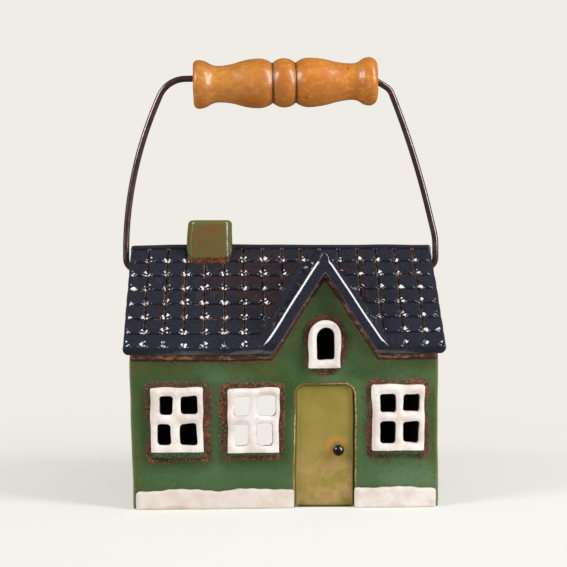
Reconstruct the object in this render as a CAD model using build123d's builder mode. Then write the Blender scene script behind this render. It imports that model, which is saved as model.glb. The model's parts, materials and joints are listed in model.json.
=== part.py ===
from build123d import *
from math import cos, radians, sin, tan
import os

# Tealight house: slab-built pottery with a tiled roof, a wire bail and a turned wooden grip.
# Millimetres. +Z is up, the front faces -Y, and the origin is on the table under the middle.

# Walls and floor
wall_length = 137.0
wall_depth = 84.0
wall_height = 71.0
wall_thickness = 5.0
wall_corner_radius = 2.0
base_thickness = 5.0

# Tiled roof
roof_pitch = 43.5
roof_thickness = 6.0
eave_overhang = 6.8
verge_overhang = 3.1
eave_edge_radius = 1.3
ridge_radius = 4.0
tile_rows = 7
tile_columns = 16
tile_step = 0.7
tile_groove_width = 1.6
tile_groove_depth = 1.1

# Cross roof over the door
dormer_x = 18.0
dormer_pitch = 57.0
dormer_thickness = 5.5
dormer_drop = 2.7
dormer_overhang = 6.1
dormer_ridge_radius = 1.5
dormer_seat_depth = 1.5

# Chimney astride the ridge
chimney_x = -33.8
chimney_width = 22.0
chimney_depth = 19.5
chimney_rise = 11.5
chimney_taper = 2.0
chimney_seat_depth = 1.5
chimney_edge_radius = 3.5
chimney_top_radius = 1.8

# Four-pane windows
window_width = 23.7
window_height = 30.0
window_corner_radius = 1.6
window_depth = 2.4
window_edge_radius = 0.9
pane_width = 7.0
pane_height = 8.8
pane_corner_radius = 1.5
glazing_bar_width = 3.5
glazing_bar_height = 4.3
left_window_x = -48.5
middle_window_x = -14.3
right_window_x = 50.4
left_sill_height = 24.8
middle_sill_height = 24.7
right_sill_height = 25.6

# Arched window in the gable
arch_width = 15.4
arch_height = 21.9
arch_border = 3.7
arch_sill_height = 63.1

# Door, knob and plinth
door_width = 26.5
door_height = 55.8
door_corner_radius = 4.0
door_recess = 2.0
knob_diameter = 5.2
knob_standoff = 1.6
knob_inset = 7.3
knob_height = 26.3
plinth_height = 8.5
plinth_wave = 0.4
plinth_depth = 2.0
plinth_edge_radius = 0.8
plinth_end_gap = 1.2

# Candle opening in the back wall
opening_width = 60.0
opening_height = 47.0
opening_corner_radius = 20.0

# Bail wire, with heights above the hinge holes
wire_diameter = 3.0
hinge_clearance = 0.3
hinge_below_ridge = 11.5
leg_clearance = 0.9
hook_reach = 3.0
hook_radius = 5.0
leg_bow_share = 0.85
left_bow_rise = 43.5
left_shoulder_x = -54.2
left_shoulder_radius = 13.6
bail_rise = 91.3
grip_tilt = 1.05
grip_bend_radius = 6.0
right_shoulder_x = 52.2
right_shoulder_rise = 85.5
right_shoulder_radius = 7.0
right_bow_x = 63.9
right_bow_rise = 55.8
right_knee_rise = 14.5
right_knee_radius = 30.0

# Turned grip
grip_x = 2.4
grip_length = 87.6
grip_bead_width = 11.0
grip_bead_diameter = 23.3
grip_groove_diameter = 18.8
grip_belly_offset = 6.5
grip_belly_diameter = 23.4
grip_neck_inset = 12.0
grip_neck_diameter = 17.2
grip_flare_inset = 3.6
grip_flare_diameter = 22.9
grip_end_diameter = 18.0
grip_bore_diameter = 9.2
grip_clearance = 0.3
grip_bend_inset = 4.9

# Tealight
tealight_diameter = 38.0
tealight_height = 13.5
cup_wall = 0.5
wax_height = 10.5
wick_diameter = 1.6
wick_stand_out = 6.5
sustainer_diameter = 12.0
sustainer_thickness = 0.5
collar_diameter = 3.4
collar_height = 4.0

# Derived positions
pitch = radians(roof_pitch)
half_length = wall_length / 2
half_depth = wall_depth / 2
roof_half_length = half_length + verge_overhang
soffit_ridge_height = wall_height + half_depth * tan(pitch)
ridge_height = soffit_ridge_height + roof_thickness / cos(pitch)
ridge_roll_height = ridge_height - ridge_radius / cos(pitch)
ridge_top = ridge_roll_height + ridge_radius
slope_length = (half_depth + eave_overhang) / cos(pitch)
row_start = ridge_radius * tan(pitch)
row_length = (slope_length - row_start) / tile_rows
tile_width = 2 * roof_half_length / tile_columns
eave_front = half_depth + eave_overhang
wire_radius = wire_diameter / 2
hinge_height = ridge_top - hinge_below_ridge
leg_x = roof_half_length + leg_clearance + wire_radius
door_face = half_depth - door_recess


def on_slope(along, above):
    """Y and Z of a point on the front slope, from the ridge line down and out of the tile face."""
    y = -along * cos(pitch) - above * sin(pitch)
    z = ridge_height - along * sin(pitch) + above * cos(pitch)
    return (y, z)


def soffit_height(y):
    """Height of the underside of the roof at a distance from the middle."""
    return soffit_ridge_height - abs(y) * tan(pitch)


def below_slope(depth):
    """Y and Z outline of the space under the front slope, sunk below the tile face."""
    top = on_slope(-roof_thickness, -depth)
    bottom = on_slope(slope_length + roof_thickness, -depth)
    return [top, bottom, (bottom[0], 0), (top[0], 0)]


# One tiled slab, the front one, from the mitre at the ridge to the eave
roof_outline = [on_slope(row_start, 0)]
for row in range(tile_rows):
    row_top = row_start + row * row_length
    roof_outline.append(on_slope(row_top, -tile_step))
    roof_outline.append(on_slope(row_top + row_length, 0))
roof_outline.append(on_slope(slope_length, -roof_thickness))
roof_outline.append((0, soffit_ridge_height))
roof_outline.append((0, ridge_top))
ridge_roll = (-ridge_radius * sin(pitch / 2), ridge_roll_height + ridge_radius * cos(pitch / 2))
groove_plane = Plane(
    origin=(0, *on_slope(row_start, 0)),
    x_dir=(1, 0, 0),
    z_dir=(0, -cos(pitch), -sin(pitch)),
)

with BuildPart() as tiled_slab:
    with BuildSketch(Plane.YZ):
        with BuildLine():
            Polyline(*roof_outline)
            ThreePointArc((0, ridge_top), ridge_roll, on_slope(row_start, 0))
        make_face()
    extrude(amount=roof_half_length, both=True)
    long_edges = tiled_slab.edges().filter_by(Axis.X)
    fillet([long_edges.sort_by(Axis.Y)[0], long_edges.sort_by(Axis.Z)[0]], eave_edge_radius)
    with BuildSketch(groove_plane):
        with GridLocations(tile_width, 0, tile_columns - 1, 1):
            Polygon(
                (-tile_groove_width / 2, 0),
                (tile_groove_width / 2, 0),
                (0, -tile_groove_depth),
                align=None,
            )
    extrude(amount=slope_length, mode=Mode.SUBTRACT)

# Chimney: tapered block with rounded edges, let into both slopes
chimney_foot = ridge_top - chimney_depth * tan(pitch)

with BuildPart() as chimney:
    with BuildSketch(Plane.XY.offset(chimney_foot)):
        with Locations((chimney_x, 0)):
            Rectangle(chimney_width, chimney_depth)
    extrude(amount=ridge_top + chimney_rise - chimney_foot, taper=chimney_taper)
    fillet(chimney.edges().group_by(Axis.Z)[1], chimney_edge_radius)
    fillet(chimney.faces().sort_by(Axis.Z)[-1].edges(), chimney_top_radius)
    with BuildSketch(Plane.YZ):
        Polygon(*below_slope(chimney_seat_depth), align=None)
        mirror(about=Plane.YZ)
    extrude(amount=roof_half_length, both=True, mode=Mode.SUBTRACT)

# Cross roof: two slabs mitred at their own ridge, let into the tiles
dormer_slope = radians(dormer_pitch)
dormer_top = ridge_top - dormer_drop
dormer_roll_height = dormer_top - dormer_ridge_radius
dormer_apex = dormer_roll_height + dormer_ridge_radius / cos(dormer_slope)
dormer_soffit = dormer_apex - dormer_thickness / cos(dormer_slope)
dormer_low = wall_height - roof_thickness
dormer_outer_half = (dormer_apex - dormer_low) / tan(dormer_slope)
dormer_inner_half = (dormer_soffit - dormer_low) / tan(dormer_slope)
dormer_roll_start = (
    dormer_x - dormer_ridge_radius * sin(dormer_slope),
    dormer_roll_height + dormer_ridge_radius * cos(dormer_slope),
)
dormer_roll_middle = (
    dormer_x - dormer_ridge_radius * sin(dormer_slope / 2),
    dormer_roll_height + dormer_ridge_radius * cos(dormer_slope / 2),
)
gable_outline = [
    (dormer_x - dormer_inner_half, dormer_low),
    (dormer_x + dormer_inner_half, dormer_low),
    (dormer_x, dormer_soffit),
]

with BuildPart() as dormer_slope_block:
    with BuildSketch(Plane.XZ.offset(eave_front)):
        with BuildLine():
            Polyline(
                dormer_roll_start,
                (dormer_x - dormer_outer_half, dormer_low),
                (dormer_x - dormer_inner_half, dormer_low),
                (dormer_x, dormer_soffit),
                (dormer_x, dormer_top),
            )
            ThreePointArc((dormer_x, dormer_top), dormer_roll_middle, dormer_roll_start)
        make_face()
    extrude(amount=-eave_front)
    with BuildSketch(Plane.YZ):
        Polygon(*below_slope(dormer_seat_depth), align=None)
    extrude(amount=roof_half_length, both=True, mode=Mode.SUBTRACT)

with BuildPart() as dormer_left_slab:
    add(dormer_slope_block.part)
    split(bisect_by=Plane.XZ.offset(half_depth + dormer_overhang), keep=Keep.BOTTOM)

with BuildPart() as dormer_right_slab:
    mirror(dormer_left_slab.part, about=Plane.YZ.offset(dormer_x))

# Roof slabs: the front one is open under the cross roof
with BuildPart() as front_roof_slab:
    add(tiled_slab.part)
    with BuildSketch(Plane.XZ.offset(eave_front)):
        Polygon(*gable_outline, align=None)
    extrude(amount=-eave_front, mode=Mode.SUBTRACT)
    add(dormer_slope_block.part, mode=Mode.SUBTRACT)
    mirror(dormer_slope_block.part, about=Plane.YZ.offset(dormer_x), mode=Mode.SUBTRACT)
    add(chimney.part, mode=Mode.SUBTRACT)

with BuildPart() as rear_roof_slab:
    mirror(tiled_slab.part, about=Plane.XZ)
    add(chimney.part, mode=Mode.SUBTRACT)

# Floor inside the walls
with BuildPart() as base_slab:
    Box(
        wall_length - 2 * wall_thickness,
        wall_depth - 2 * wall_thickness,
        base_thickness,
        align=(Align.CENTER, Align.CENTER, Align.MIN),
    )

# Openings of the front wall, each on a plane of the wall's outer face
windows = [
    (left_window_x, left_sill_height),
    (middle_window_x, middle_sill_height),
    (right_window_x, right_sill_height),
]
pane_spacing_x = pane_width + glazing_bar_width
pane_spacing_z = pane_height + glazing_bar_height


def wall_plane(x, z, face):
    """Plane that looks out of the front, with its origin at a point of a face."""
    return Plane(origin=(x, -face, z), x_dir=(1, 0, 0), z_dir=(0, -1, 0))


inner_face = half_depth - wall_thickness
front_wall_outline = [
    (-half_depth, 0),
    (-half_depth, wall_height),
    (-inner_face, soffit_height(inner_face)),
    (-inner_face, 0),
]
arch_plane = wall_plane(dormer_x, arch_sill_height, half_depth)
arch_spring = arch_height - arch_width / 2
arch_pane_radius = arch_width / 2 - arch_border
door_plane = wall_plane(dormer_x, 0, half_depth)

with BuildPart() as front_wall:
    with BuildSketch(Plane.YZ):
        Polygon(*front_wall_outline, align=None)
    extrude(amount=half_length, both=True)
    fillet(front_wall.edges().filter_by(Axis.Z).group_by(Axis.Y)[0], wall_corner_radius)
    with BuildSketch(Plane.XZ.offset(half_depth)):
        Polygon(*gable_outline, align=None)
    extrude(amount=-wall_thickness)
    for window_x, sill_height in windows:
        with BuildSketch(wall_plane(window_x, sill_height + window_height / 2, half_depth)):
            with GridLocations(pane_spacing_x, pane_spacing_z, 2, 2):
                RectangleRounded(pane_width, pane_height, pane_corner_radius)
        extrude(amount=-wall_thickness, mode=Mode.SUBTRACT)
    with BuildSketch(arch_plane):
        with Locations((0, arch_spring)):
            Circle(arch_pane_radius)
        with Locations((0, arch_border)):
            Rectangle(2 * arch_pane_radius, arch_spring - arch_border, align=(Align.CENTER, Align.MIN))
    extrude(amount=-wall_thickness, mode=Mode.SUBTRACT)
    with BuildSketch(door_plane) as door_outline:
        Rectangle(door_width, door_height, align=(Align.CENTER, Align.MIN))
        fillet(door_outline.vertices().group_by(Axis.Y)[-1], door_corner_radius)
    extrude(amount=-wall_thickness, mode=Mode.SUBTRACT)

# Door slab set back in its hole, with a bead for a knob
with BuildPart() as door_panel:
    with BuildSketch(wall_plane(dormer_x, 0, inner_face)) as panel_outline:
        Rectangle(door_width, door_height, align=(Align.CENTER, Align.MIN))
        fillet(panel_outline.vertices().group_by(Axis.Y)[-1], door_corner_radius)
    extrude(amount=wall_thickness - door_recess)

knob_x = dormer_x + door_width / 2 - knob_inset

with BuildPart() as door_knob:
    with Locations((knob_x, -door_face - knob_standoff, knob_height)):
        Sphere(knob_diameter / 2)
    split(bisect_by=wall_plane(knob_x, knob_height, door_face), keep=Keep.TOP)


def window_frame(x, sill_height):
    """Raised frame with four panes, on the outer face of the front wall."""
    with BuildPart() as frame:
        with BuildSketch(wall_plane(x, sill_height + window_height / 2, half_depth)):
            RectangleRounded(window_width, window_height, window_corner_radius)
            with GridLocations(pane_spacing_x, pane_spacing_z, 2, 2):
                RectangleRounded(pane_width, pane_height, pane_corner_radius, mode=Mode.SUBTRACT)
        extrude(amount=window_depth)
        fillet(frame.faces().sort_by(Axis.Y)[0].outer_wire().edges(), window_edge_radius)
    return frame


left_window_frame = window_frame(left_window_x, left_sill_height)
middle_window_frame = window_frame(middle_window_x, middle_sill_height)
right_window_frame = window_frame(right_window_x, right_sill_height)

with BuildPart() as arched_window_frame:
    with BuildSketch(arch_plane):
        Rectangle(arch_width, arch_spring, align=(Align.CENTER, Align.MIN))
        with Locations((0, arch_spring)):
            Circle(arch_width / 2)
            Circle(arch_pane_radius, mode=Mode.SUBTRACT)
        with Locations((0, arch_border)):
            Rectangle(
                2 * arch_pane_radius,
                arch_spring - arch_border,
                align=(Align.CENTER, Align.MIN),
                mode=Mode.SUBTRACT,
            )
    extrude(amount=window_depth)
    fillet(arched_window_frame.faces().sort_by(Axis.Y)[0].outer_wire().edges(), window_edge_radius)


def plinth_strip(start, end, waves):
    """Strip along the foot of the front wall, with an uneven top edge."""
    spacing = (end - start) / waves
    with BuildPart() as strip:
        with BuildSketch(Plane.XZ.offset(half_depth)):
            with BuildLine():
                for wave in range(waves):
                    wave_start = start + wave * spacing
                    ThreePointArc(
                        (wave_start, plinth_height),
                        (wave_start + spacing / 2, plinth_height - plinth_wave * (-1) ** wave),
                        (wave_start + spacing, plinth_height),
                    )
                Polyline((end, plinth_height), (end, 0), (start, 0), (start, plinth_height))
            make_face()
        extrude(amount=plinth_depth)
        front = strip.faces().sort_by(Axis.Y)[0]
        fillet(front.edges().sort_by(Axis.Z)[1:], plinth_edge_radius)
    return strip


left_plinth = plinth_strip(plinth_end_gap - half_length, dormer_x - door_width / 2, 5)
right_plinth = plinth_strip(dormer_x + door_width / 2, half_length - plinth_end_gap, 3)

# Back wall with the opening that the candle goes through
with BuildPart() as back_wall:
    with BuildSketch(Plane.YZ):
        Polygon(*[(-y, z) for y, z in front_wall_outline], align=None)
    extrude(amount=half_length, both=True)
    fillet(back_wall.edges().filter_by(Axis.Z).group_by(Axis.Y)[-1], wall_corner_radius)
    with BuildSketch(wall_plane(0, base_thickness, -inner_face)) as opening:
        Rectangle(opening_width, opening_height, align=(Align.CENTER, Align.MIN))
        fillet(opening.vertices().group_by(Axis.Y)[-1], opening_corner_radius)
    extrude(amount=-wall_thickness, mode=Mode.SUBTRACT)

# Gable walls between the front and back walls, each with a hole for the bail
with BuildPart() as right_gable_wall:
    with BuildSketch(Plane.YZ.offset(half_length - wall_thickness)):
        Polygon(
            (-inner_face, 0),
            (inner_face, 0),
            (inner_face, soffit_height(inner_face)),
            (0, soffit_ridge_height),
            (-inner_face, soffit_height(inner_face)),
            align=None,
        )
        with Locations((0, hinge_height)):
            Circle(wire_radius + hinge_clearance, mode=Mode.SUBTRACT)
    extrude(amount=wall_thickness)

with BuildPart() as left_gable_wall:
    mirror(right_gable_wall.part, about=Plane.YZ)


def bow_radius(before, corner, after):
    """Radius of a bow that takes up a share of the shorter of the two runs at a corner."""
    run_in = Vector(*corner) - Vector(*before)
    run_out = Vector(*after) - Vector(*corner)
    half_turn = radians(run_in.get_angle(run_out)) / 2
    return leg_bow_share * min(run_in.length, run_out.length) / tan(half_turn)


# Bail wire: hooked through both gable walls, bowed legs, a tilted run through the grip
tilt = radians(grip_tilt)
grip_bend_x = grip_x + grip_length / 2 - grip_bend_inset
hook_end = half_length - wall_thickness - hook_reach
left_hook = (-leg_x, hinge_height)
left_bow = (-leg_x, hinge_height + left_bow_rise)
left_shoulder = (left_shoulder_x, hinge_height + bail_rise + left_shoulder_x * tan(tilt))
grip_bend = (grip_bend_x, hinge_height + bail_rise + grip_bend_x * tan(tilt))
right_shoulder = (right_shoulder_x, hinge_height + right_shoulder_rise)
right_bow = (right_bow_x, hinge_height + right_bow_rise)
right_knee = (leg_x, hinge_height + right_knee_rise)
right_hook = (leg_x, hinge_height)
bail_points = [
    (-hook_end, hinge_height),
    left_hook,
    left_bow,
    left_shoulder,
    grip_bend,
    right_shoulder,
    right_bow,
    right_knee,
    right_hook,
    (hook_end, hinge_height),
]
bail_radii = [
    hook_radius,
    bow_radius(left_hook, left_bow, left_shoulder),
    left_shoulder_radius,
    grip_bend_radius,
    right_shoulder_radius,
    bow_radius(right_shoulder, right_bow, right_knee),
    right_knee_radius,
    hook_radius,
]

with BuildPart() as bail_wire:
    with BuildLine(Plane.XZ) as bail_route:
        FilletPolyline(*bail_points, radius=bail_radii)
    with BuildSketch(Plane(origin=bail_route.line @ 0, z_dir=bail_route.line % 0)):
        Circle(wire_radius)
    sweep(path=bail_route.line)

# Grip: turned about its own bore, which hangs on the wire
grip_drop = grip_bore_diameter / 2 - wire_radius - grip_clearance
grip_height = hinge_height + bail_rise + grip_x * tan(tilt) - grip_drop / cos(tilt)
grip_plane = Plane(origin=(grip_x, 0, grip_height), x_dir=(cos(tilt), 0, sin(tilt)), z_dir=(0, -1, 0))
half_grip = grip_length / 2
half_bead = grip_bead_width / 2
belly_at = half_bead + grip_belly_offset
flare_at = half_grip - grip_flare_inset
neck_at = half_grip - grip_neck_inset
bead_groove = (half_bead, grip_groove_diameter / 2)
belly = (belly_at, grip_belly_diameter / 2)
neck = (neck_at, grip_neck_diameter / 2)
flare = (flare_at, grip_flare_diameter / 2)
end_rim = (half_grip, grip_end_diameter / 2)


def reverse_curve(start, end):
    """Two equal arcs, each level at its own end, that meet halfway."""
    halfway = ((start[0] + end[0]) / 2, (start[1] + end[1]) / 2)
    TangentArc(start, halfway, tangent=(1, 0))
    TangentArc(end, halfway, tangent=(-1, 0))


with BuildPart() as handle_grip:
    with BuildSketch(grip_plane):
        with BuildLine():
            TangentArc((0, grip_bead_diameter / 2), bead_groove, tangent=(1, 0))
            TangentArc(belly, bead_groove, tangent=(-1, 0))
            reverse_curve(belly, neck)
            reverse_curve(neck, flare)
            TangentArc(flare, end_rim, tangent=(1, 0))
            Polyline(
                end_rim,
                (half_grip, grip_bore_diameter / 2),
                (0, grip_bore_diameter / 2),
                (0, grip_bead_diameter / 2),
            )
        make_face()
        mirror(about=Plane.YZ)
    revolve(axis=Axis((grip_x, 0, grip_height), (cos(tilt), 0, sin(tilt))))

# Tealight on the floor: cup, wax, wick and the foot of the wick
cup_radius = tealight_diameter / 2
wax_floor = base_thickness + cup_wall
wick_top = wax_floor + wax_height + wick_stand_out

with BuildPart() as tealight_cup:
    with BuildSketch(Plane.XY.offset(base_thickness)):
        Circle(cup_radius)
    extrude(amount=tealight_height)
    with BuildSketch(Plane.XY.offset(wax_floor)):
        Circle(cup_radius - cup_wall)
    extrude(amount=tealight_height, mode=Mode.SUBTRACT)

with BuildPart() as wick_sustainer:
    with BuildSketch(Plane.XY.offset(wax_floor)):
        Circle(sustainer_diameter / 2)
    extrude(amount=sustainer_thickness)
    with BuildSketch(Plane.XY.offset(wax_floor)):
        Circle(collar_diameter / 2)
    extrude(amount=sustainer_thickness + collar_height)
    with BuildSketch(Plane.XY.offset(wax_floor)):
        Circle(wick_diameter / 2)
    extrude(amount=sustainer_thickness + collar_height, mode=Mode.SUBTRACT)

with BuildPart() as tealight_wick:
    with BuildSketch(Plane.XY.offset(wax_floor)):
        Circle(wick_diameter / 2)
    extrude(amount=wick_top - wax_floor)

with BuildPart() as tealight_wax:
    with BuildSketch(Plane.XY.offset(wax_floor)):
        Circle(cup_radius - cup_wall)
    extrude(amount=wax_height)
    add(wick_sustainer.part, mode=Mode.SUBTRACT)
    add(tealight_wick.part, mode=Mode.SUBTRACT)

# One file for each piece
pieces = {
    "base_slab": base_slab,
    "front_wall": front_wall,
    "back_wall": back_wall,
    "left_gable_wall": left_gable_wall,
    "right_gable_wall": right_gable_wall,
    "front_roof_slab": front_roof_slab,
    "rear_roof_slab": rear_roof_slab,
    "dormer_left_slab": dormer_left_slab,
    "dormer_right_slab": dormer_right_slab,
    "chimney": chimney,
    "left_window_frame": left_window_frame,
    "middle_window_frame": middle_window_frame,
    "right_window_frame": right_window_frame,
    "arched_window_frame": arched_window_frame,
    "door_panel": door_panel,
    "door_knob": door_knob,
    "left_plinth": left_plinth,
    "right_plinth": right_plinth,
    "bail_wire": bail_wire,
    "handle_grip": handle_grip,
    "tealight_cup": tealight_cup,
    "tealight_wax": tealight_wax,
    "tealight_wick": tealight_wick,
    "wick_sustainer": wick_sustainer,
}

os.makedirs("parts", exist_ok=True)
for piece_name, piece in pieces.items():
    piece.part.label = piece_name
    export_step(piece.part, f"parts/{piece_name}.step")
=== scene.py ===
import json
import math

import bmesh
import bpy
import numpy as np
from mathutils import Matrix, Vector, noise


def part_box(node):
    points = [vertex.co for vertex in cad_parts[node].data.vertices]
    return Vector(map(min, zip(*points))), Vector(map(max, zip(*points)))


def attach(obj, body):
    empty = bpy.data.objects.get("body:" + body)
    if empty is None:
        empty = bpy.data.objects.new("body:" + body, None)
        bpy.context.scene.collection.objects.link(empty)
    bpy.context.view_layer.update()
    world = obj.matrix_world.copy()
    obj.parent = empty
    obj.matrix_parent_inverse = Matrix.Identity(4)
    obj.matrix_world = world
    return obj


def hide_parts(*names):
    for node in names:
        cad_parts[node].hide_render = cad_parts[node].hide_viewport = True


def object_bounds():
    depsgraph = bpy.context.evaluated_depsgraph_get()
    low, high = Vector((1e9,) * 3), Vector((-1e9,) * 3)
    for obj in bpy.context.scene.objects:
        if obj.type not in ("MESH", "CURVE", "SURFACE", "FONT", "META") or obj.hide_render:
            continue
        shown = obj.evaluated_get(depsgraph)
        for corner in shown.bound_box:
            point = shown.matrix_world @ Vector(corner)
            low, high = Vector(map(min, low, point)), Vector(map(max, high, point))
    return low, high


# Tealight house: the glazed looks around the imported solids. Metres, +Z up, the front faces -Y.
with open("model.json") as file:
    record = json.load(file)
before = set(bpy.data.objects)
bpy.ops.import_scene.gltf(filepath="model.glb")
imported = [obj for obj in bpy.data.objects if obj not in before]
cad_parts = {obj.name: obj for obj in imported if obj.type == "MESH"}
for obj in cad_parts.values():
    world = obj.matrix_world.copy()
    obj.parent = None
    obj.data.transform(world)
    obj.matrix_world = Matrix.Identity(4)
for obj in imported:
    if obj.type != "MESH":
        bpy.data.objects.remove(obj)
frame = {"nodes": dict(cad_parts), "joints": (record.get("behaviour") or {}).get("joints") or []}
cad_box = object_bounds()
scene = bpy.context.scene
MM = 0.001

# Sizes that the boxes of the solids give
wall_low, wall_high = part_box("front_wall")
gable_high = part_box("right_gable_wall")[1]
roof_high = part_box("front_roof_slab")[1]
dormer_left_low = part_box("dormer_left_slab")[0]
dormer_right_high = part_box("dormer_right_slab")[1]
door_low, door_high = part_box("door_panel")
knob_low, knob_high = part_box("door_knob")
chimney_low, chimney_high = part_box("chimney")
wire_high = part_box("bail_wire")[1]
cup_low, cup_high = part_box("tealight_cup")
wax_low, wax_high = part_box("tealight_wax")
wick_low, wick_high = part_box("tealight_wick")
half_length = wall_high.x
half_depth = -wall_low.y
wall_thickness = wall_high.y - wall_low.y
wall_back = wall_high.y
roof_half_length = roof_high.x
ridge_top = roof_high.z
soffit_ridge = gable_high.z

# Sizes repeated from the model of the solids
roof_pitch = math.radians(43.5)
roof_thickness = 6.0 * MM
eave_overhang = 6.8 * MM
eave_edge_radius = 1.3 * MM
ridge_radius = 4.0 * MM
tile_rows = 7
tile_columns = 16
wire_radius = 1.5 * MM
dormer_x = (dormer_left_low.x + dormer_right_high.x) / 2
wall_height = soffit_ridge - half_depth * math.tan(roof_pitch)

# Slope of the main roof, measured down from its sharp ridge line
slope_down = np.array([0, -math.cos(roof_pitch), -math.sin(roof_pitch)])
slope_out = np.array([0, -math.sin(roof_pitch), math.cos(roof_pitch)])
ridge_roll = ridge_top - ridge_radius
ridge_height = ridge_roll + ridge_radius / math.cos(roof_pitch)
slope_length = (half_depth + eave_overhang) / math.cos(roof_pitch)
row_start = ridge_radius * math.tan(roof_pitch)
row_length = (slope_length - row_start) / tile_rows
tile_width = 2 * roof_half_length / tile_columns
eave_top = ridge_height - slope_length * math.sin(roof_pitch)
eave_bottom = eave_top - roof_thickness * math.cos(roof_pitch)


# Numbers, colours and unevenness

def srgb(red, green, blue):
    """Linear colour from the 0 to 255 values of a picture."""
    shares = [value / 255 for value in (red, green, blue)]
    linear = [s / 12.92 if s <= 0.04045 else ((s + 0.055) / 1.055) ** 2.4 for s in shares]
    return (*linear, 1.0)


def ease(low, high, values):
    """Smooth step from 0 at low to 1 at high."""
    share = np.clip((values - low) / (high - low), 0, 1)
    return share * share * (3 - 2 * share)


def wobble(points, wavelength, seed):
    """Smooth unevenness, mostly between -1 and 1, the same on every run."""
    waves = 7
    rng = np.random.default_rng(seed)
    total = np.zeros(len(points))
    for _ in range(waves):
        direction = rng.normal(size=3)
        direction *= math.tau / (wavelength * rng.uniform(0.7, 1.5)) / np.linalg.norm(direction)
        total += np.sin(points @ direction + rng.uniform(0, math.tau))
    return total / math.sqrt(waves)


def grain(points, size):
    """Fine cell noise at each point, from -1 to 1."""
    return np.array([noise.noise(Vector(point / size)) for point in points])


def hand_warp(points):
    """Shifts points the way a hand-built house is out of true, alike for all of its pieces."""
    at_end = np.sign(points[:, 0]) * ease(0.35 * half_length, half_length, np.abs(points[:, 0]))
    lean = 0.75 * MM * at_end * (1 - ease(0.9 * wall_height, 1.06 * wall_height, points[:, 2]))
    lean += 1.3 * MM * np.maximum(-at_end, 0) * (1 - np.clip(points[:, 2] / wall_height, 0, 1))
    shift = np.zeros_like(points)
    for axis in range(3):
        shift[:, axis] += 0.30 * MM * wobble(points, 85 * MM, 10 + axis)
        shift[:, axis] += 0.13 * MM * wobble(points, 24 * MM, 20 + axis)
    shift[:, 0] += lean
    shift[:, 2] *= ease(0, 12 * MM, points[:, 2])
    moved = points + shift
    return np.clip(moved, np.array(cad_box[0]), np.array(cad_box[1]))


# Meshes

def points_of(mesh):
    values = np.empty(len(mesh.vertices) * 3)
    mesh.vertices.foreach_get("co", values)
    return values.reshape(-1, 3)


def normals_of(mesh):
    values = np.empty(len(mesh.vertices) * 3)
    mesh.vertices.foreach_get("normal", values)
    return values.reshape(-1, 3)


def set_points(mesh, points):
    mesh.vertices.foreach_set("co", np.ascontiguousarray(points, dtype=np.float32).ravel())
    mesh.update()


def set_mask(mesh, name, values):
    layer = mesh.attributes.new(name, "FLOAT", "POINT")
    layer.data.foreach_set("value", np.clip(values, 0, 1).astype(np.float32))


def new_mesh(name, points, faces):
    mesh = bpy.data.meshes.new(name)
    mesh.from_pydata([tuple(point) for point in points], [], faces)
    mesh.update()
    return mesh


def node_mesh(node):
    return frame["nodes"][node].data.copy()


def joined(meshes):
    """One mesh from several."""
    bm = bmesh.new()
    for mesh in meshes:
        bm.from_mesh(mesh)
    result = bpy.data.meshes.new("joined")
    bm.to_mesh(result)
    bm.free()
    return result


def changed(mesh, *modifiers):
    """The mesh after modifiers, each given as its type and its settings."""
    holder = bpy.data.objects.new("holder", mesh)
    scene.collection.objects.link(holder)
    for kind, settings in modifiers:
        modifier = holder.modifiers.new(kind, kind)
        for key, value in settings.items():
            setattr(modifier, key, value)
    graph = bpy.context.evaluated_depsgraph_get()
    result = bpy.data.meshes.new_from_object(holder.evaluated_get(graph))
    bpy.data.objects.remove(holder)
    return result


def softened(mesh, voxel, rounds):
    """The mesh remade in small even faces, with its edges rounded."""
    remesh = ("REMESH", {"mode": "VOXEL", "voxel_size": voxel})
    smooth = ("SMOOTH", {"factor": 0.5, "iterations": rounds})
    return changed(mesh, remesh, smooth)


def flat_solid(outlines, front, back):
    """Closed solid that faces the front, from an outer outline and its holes in X and Z."""
    bm = bmesh.new()
    edges = []
    for outline in outlines:
        corners = [bm.verts.new((x, front, z)) for x, z in outline]
        for start, end in zip(corners, corners[1:] + corners[:1]):
            edges.append(bm.edges.new((start, end)))
    bmesh.ops.triangle_fill(bm, use_beauty=True, edges=edges)
    grown = bmesh.ops.extrude_face_region(bm, geom=bm.faces[:])
    far = [part for part in grown["geom"] if isinstance(part, bmesh.types.BMVert)]
    bmesh.ops.translate(bm, vec=(0, back - front, 0), verts=far)
    bmesh.ops.recalc_face_normals(bm, faces=bm.faces)
    mesh = bpy.data.meshes.new("flat_solid")
    bm.to_mesh(mesh)
    bm.free()
    return mesh


def tube_faces(rings, sides, start=0):
    """Faces of a closed tube: rings of points one after another, with a cap on each end."""
    faces = []
    for ring in range(rings - 1):
        below = start + ring * sides
        for step in range(sides):
            after = (step + 1) % sides
            faces.append((below + step, below + after, below + sides + after, below + sides + step))
    last = start + (rings - 1) * sides
    faces.append(tuple(range(start, start + sides))[::-1])
    faces.append(tuple(range(last, last + sides)))
    return faces


def lathe(profile, origin, axis, segments):
    """Closed solid of revolution from (along, radius) points, about an axis through an origin."""
    axis = Vector(axis).normalized()
    side = axis.orthogonal().normalized()
    other = axis.cross(side)
    points = []
    for along, radius in profile:
        for step in range(segments):
            angle = math.tau * step / segments
            ray = side * math.cos(angle) + other * math.sin(angle)
            points.append(Vector(origin) + axis * along + ray * radius)
    faces = []
    for ring in range(len(profile)):
        below = ring * segments
        above = (ring + 1) % len(profile) * segments
        for step in range(segments):
            after = (step + 1) % segments
            faces.append((below + step, below + after, above + after, above + step))
    return new_mesh("lathe", points, faces)


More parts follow.
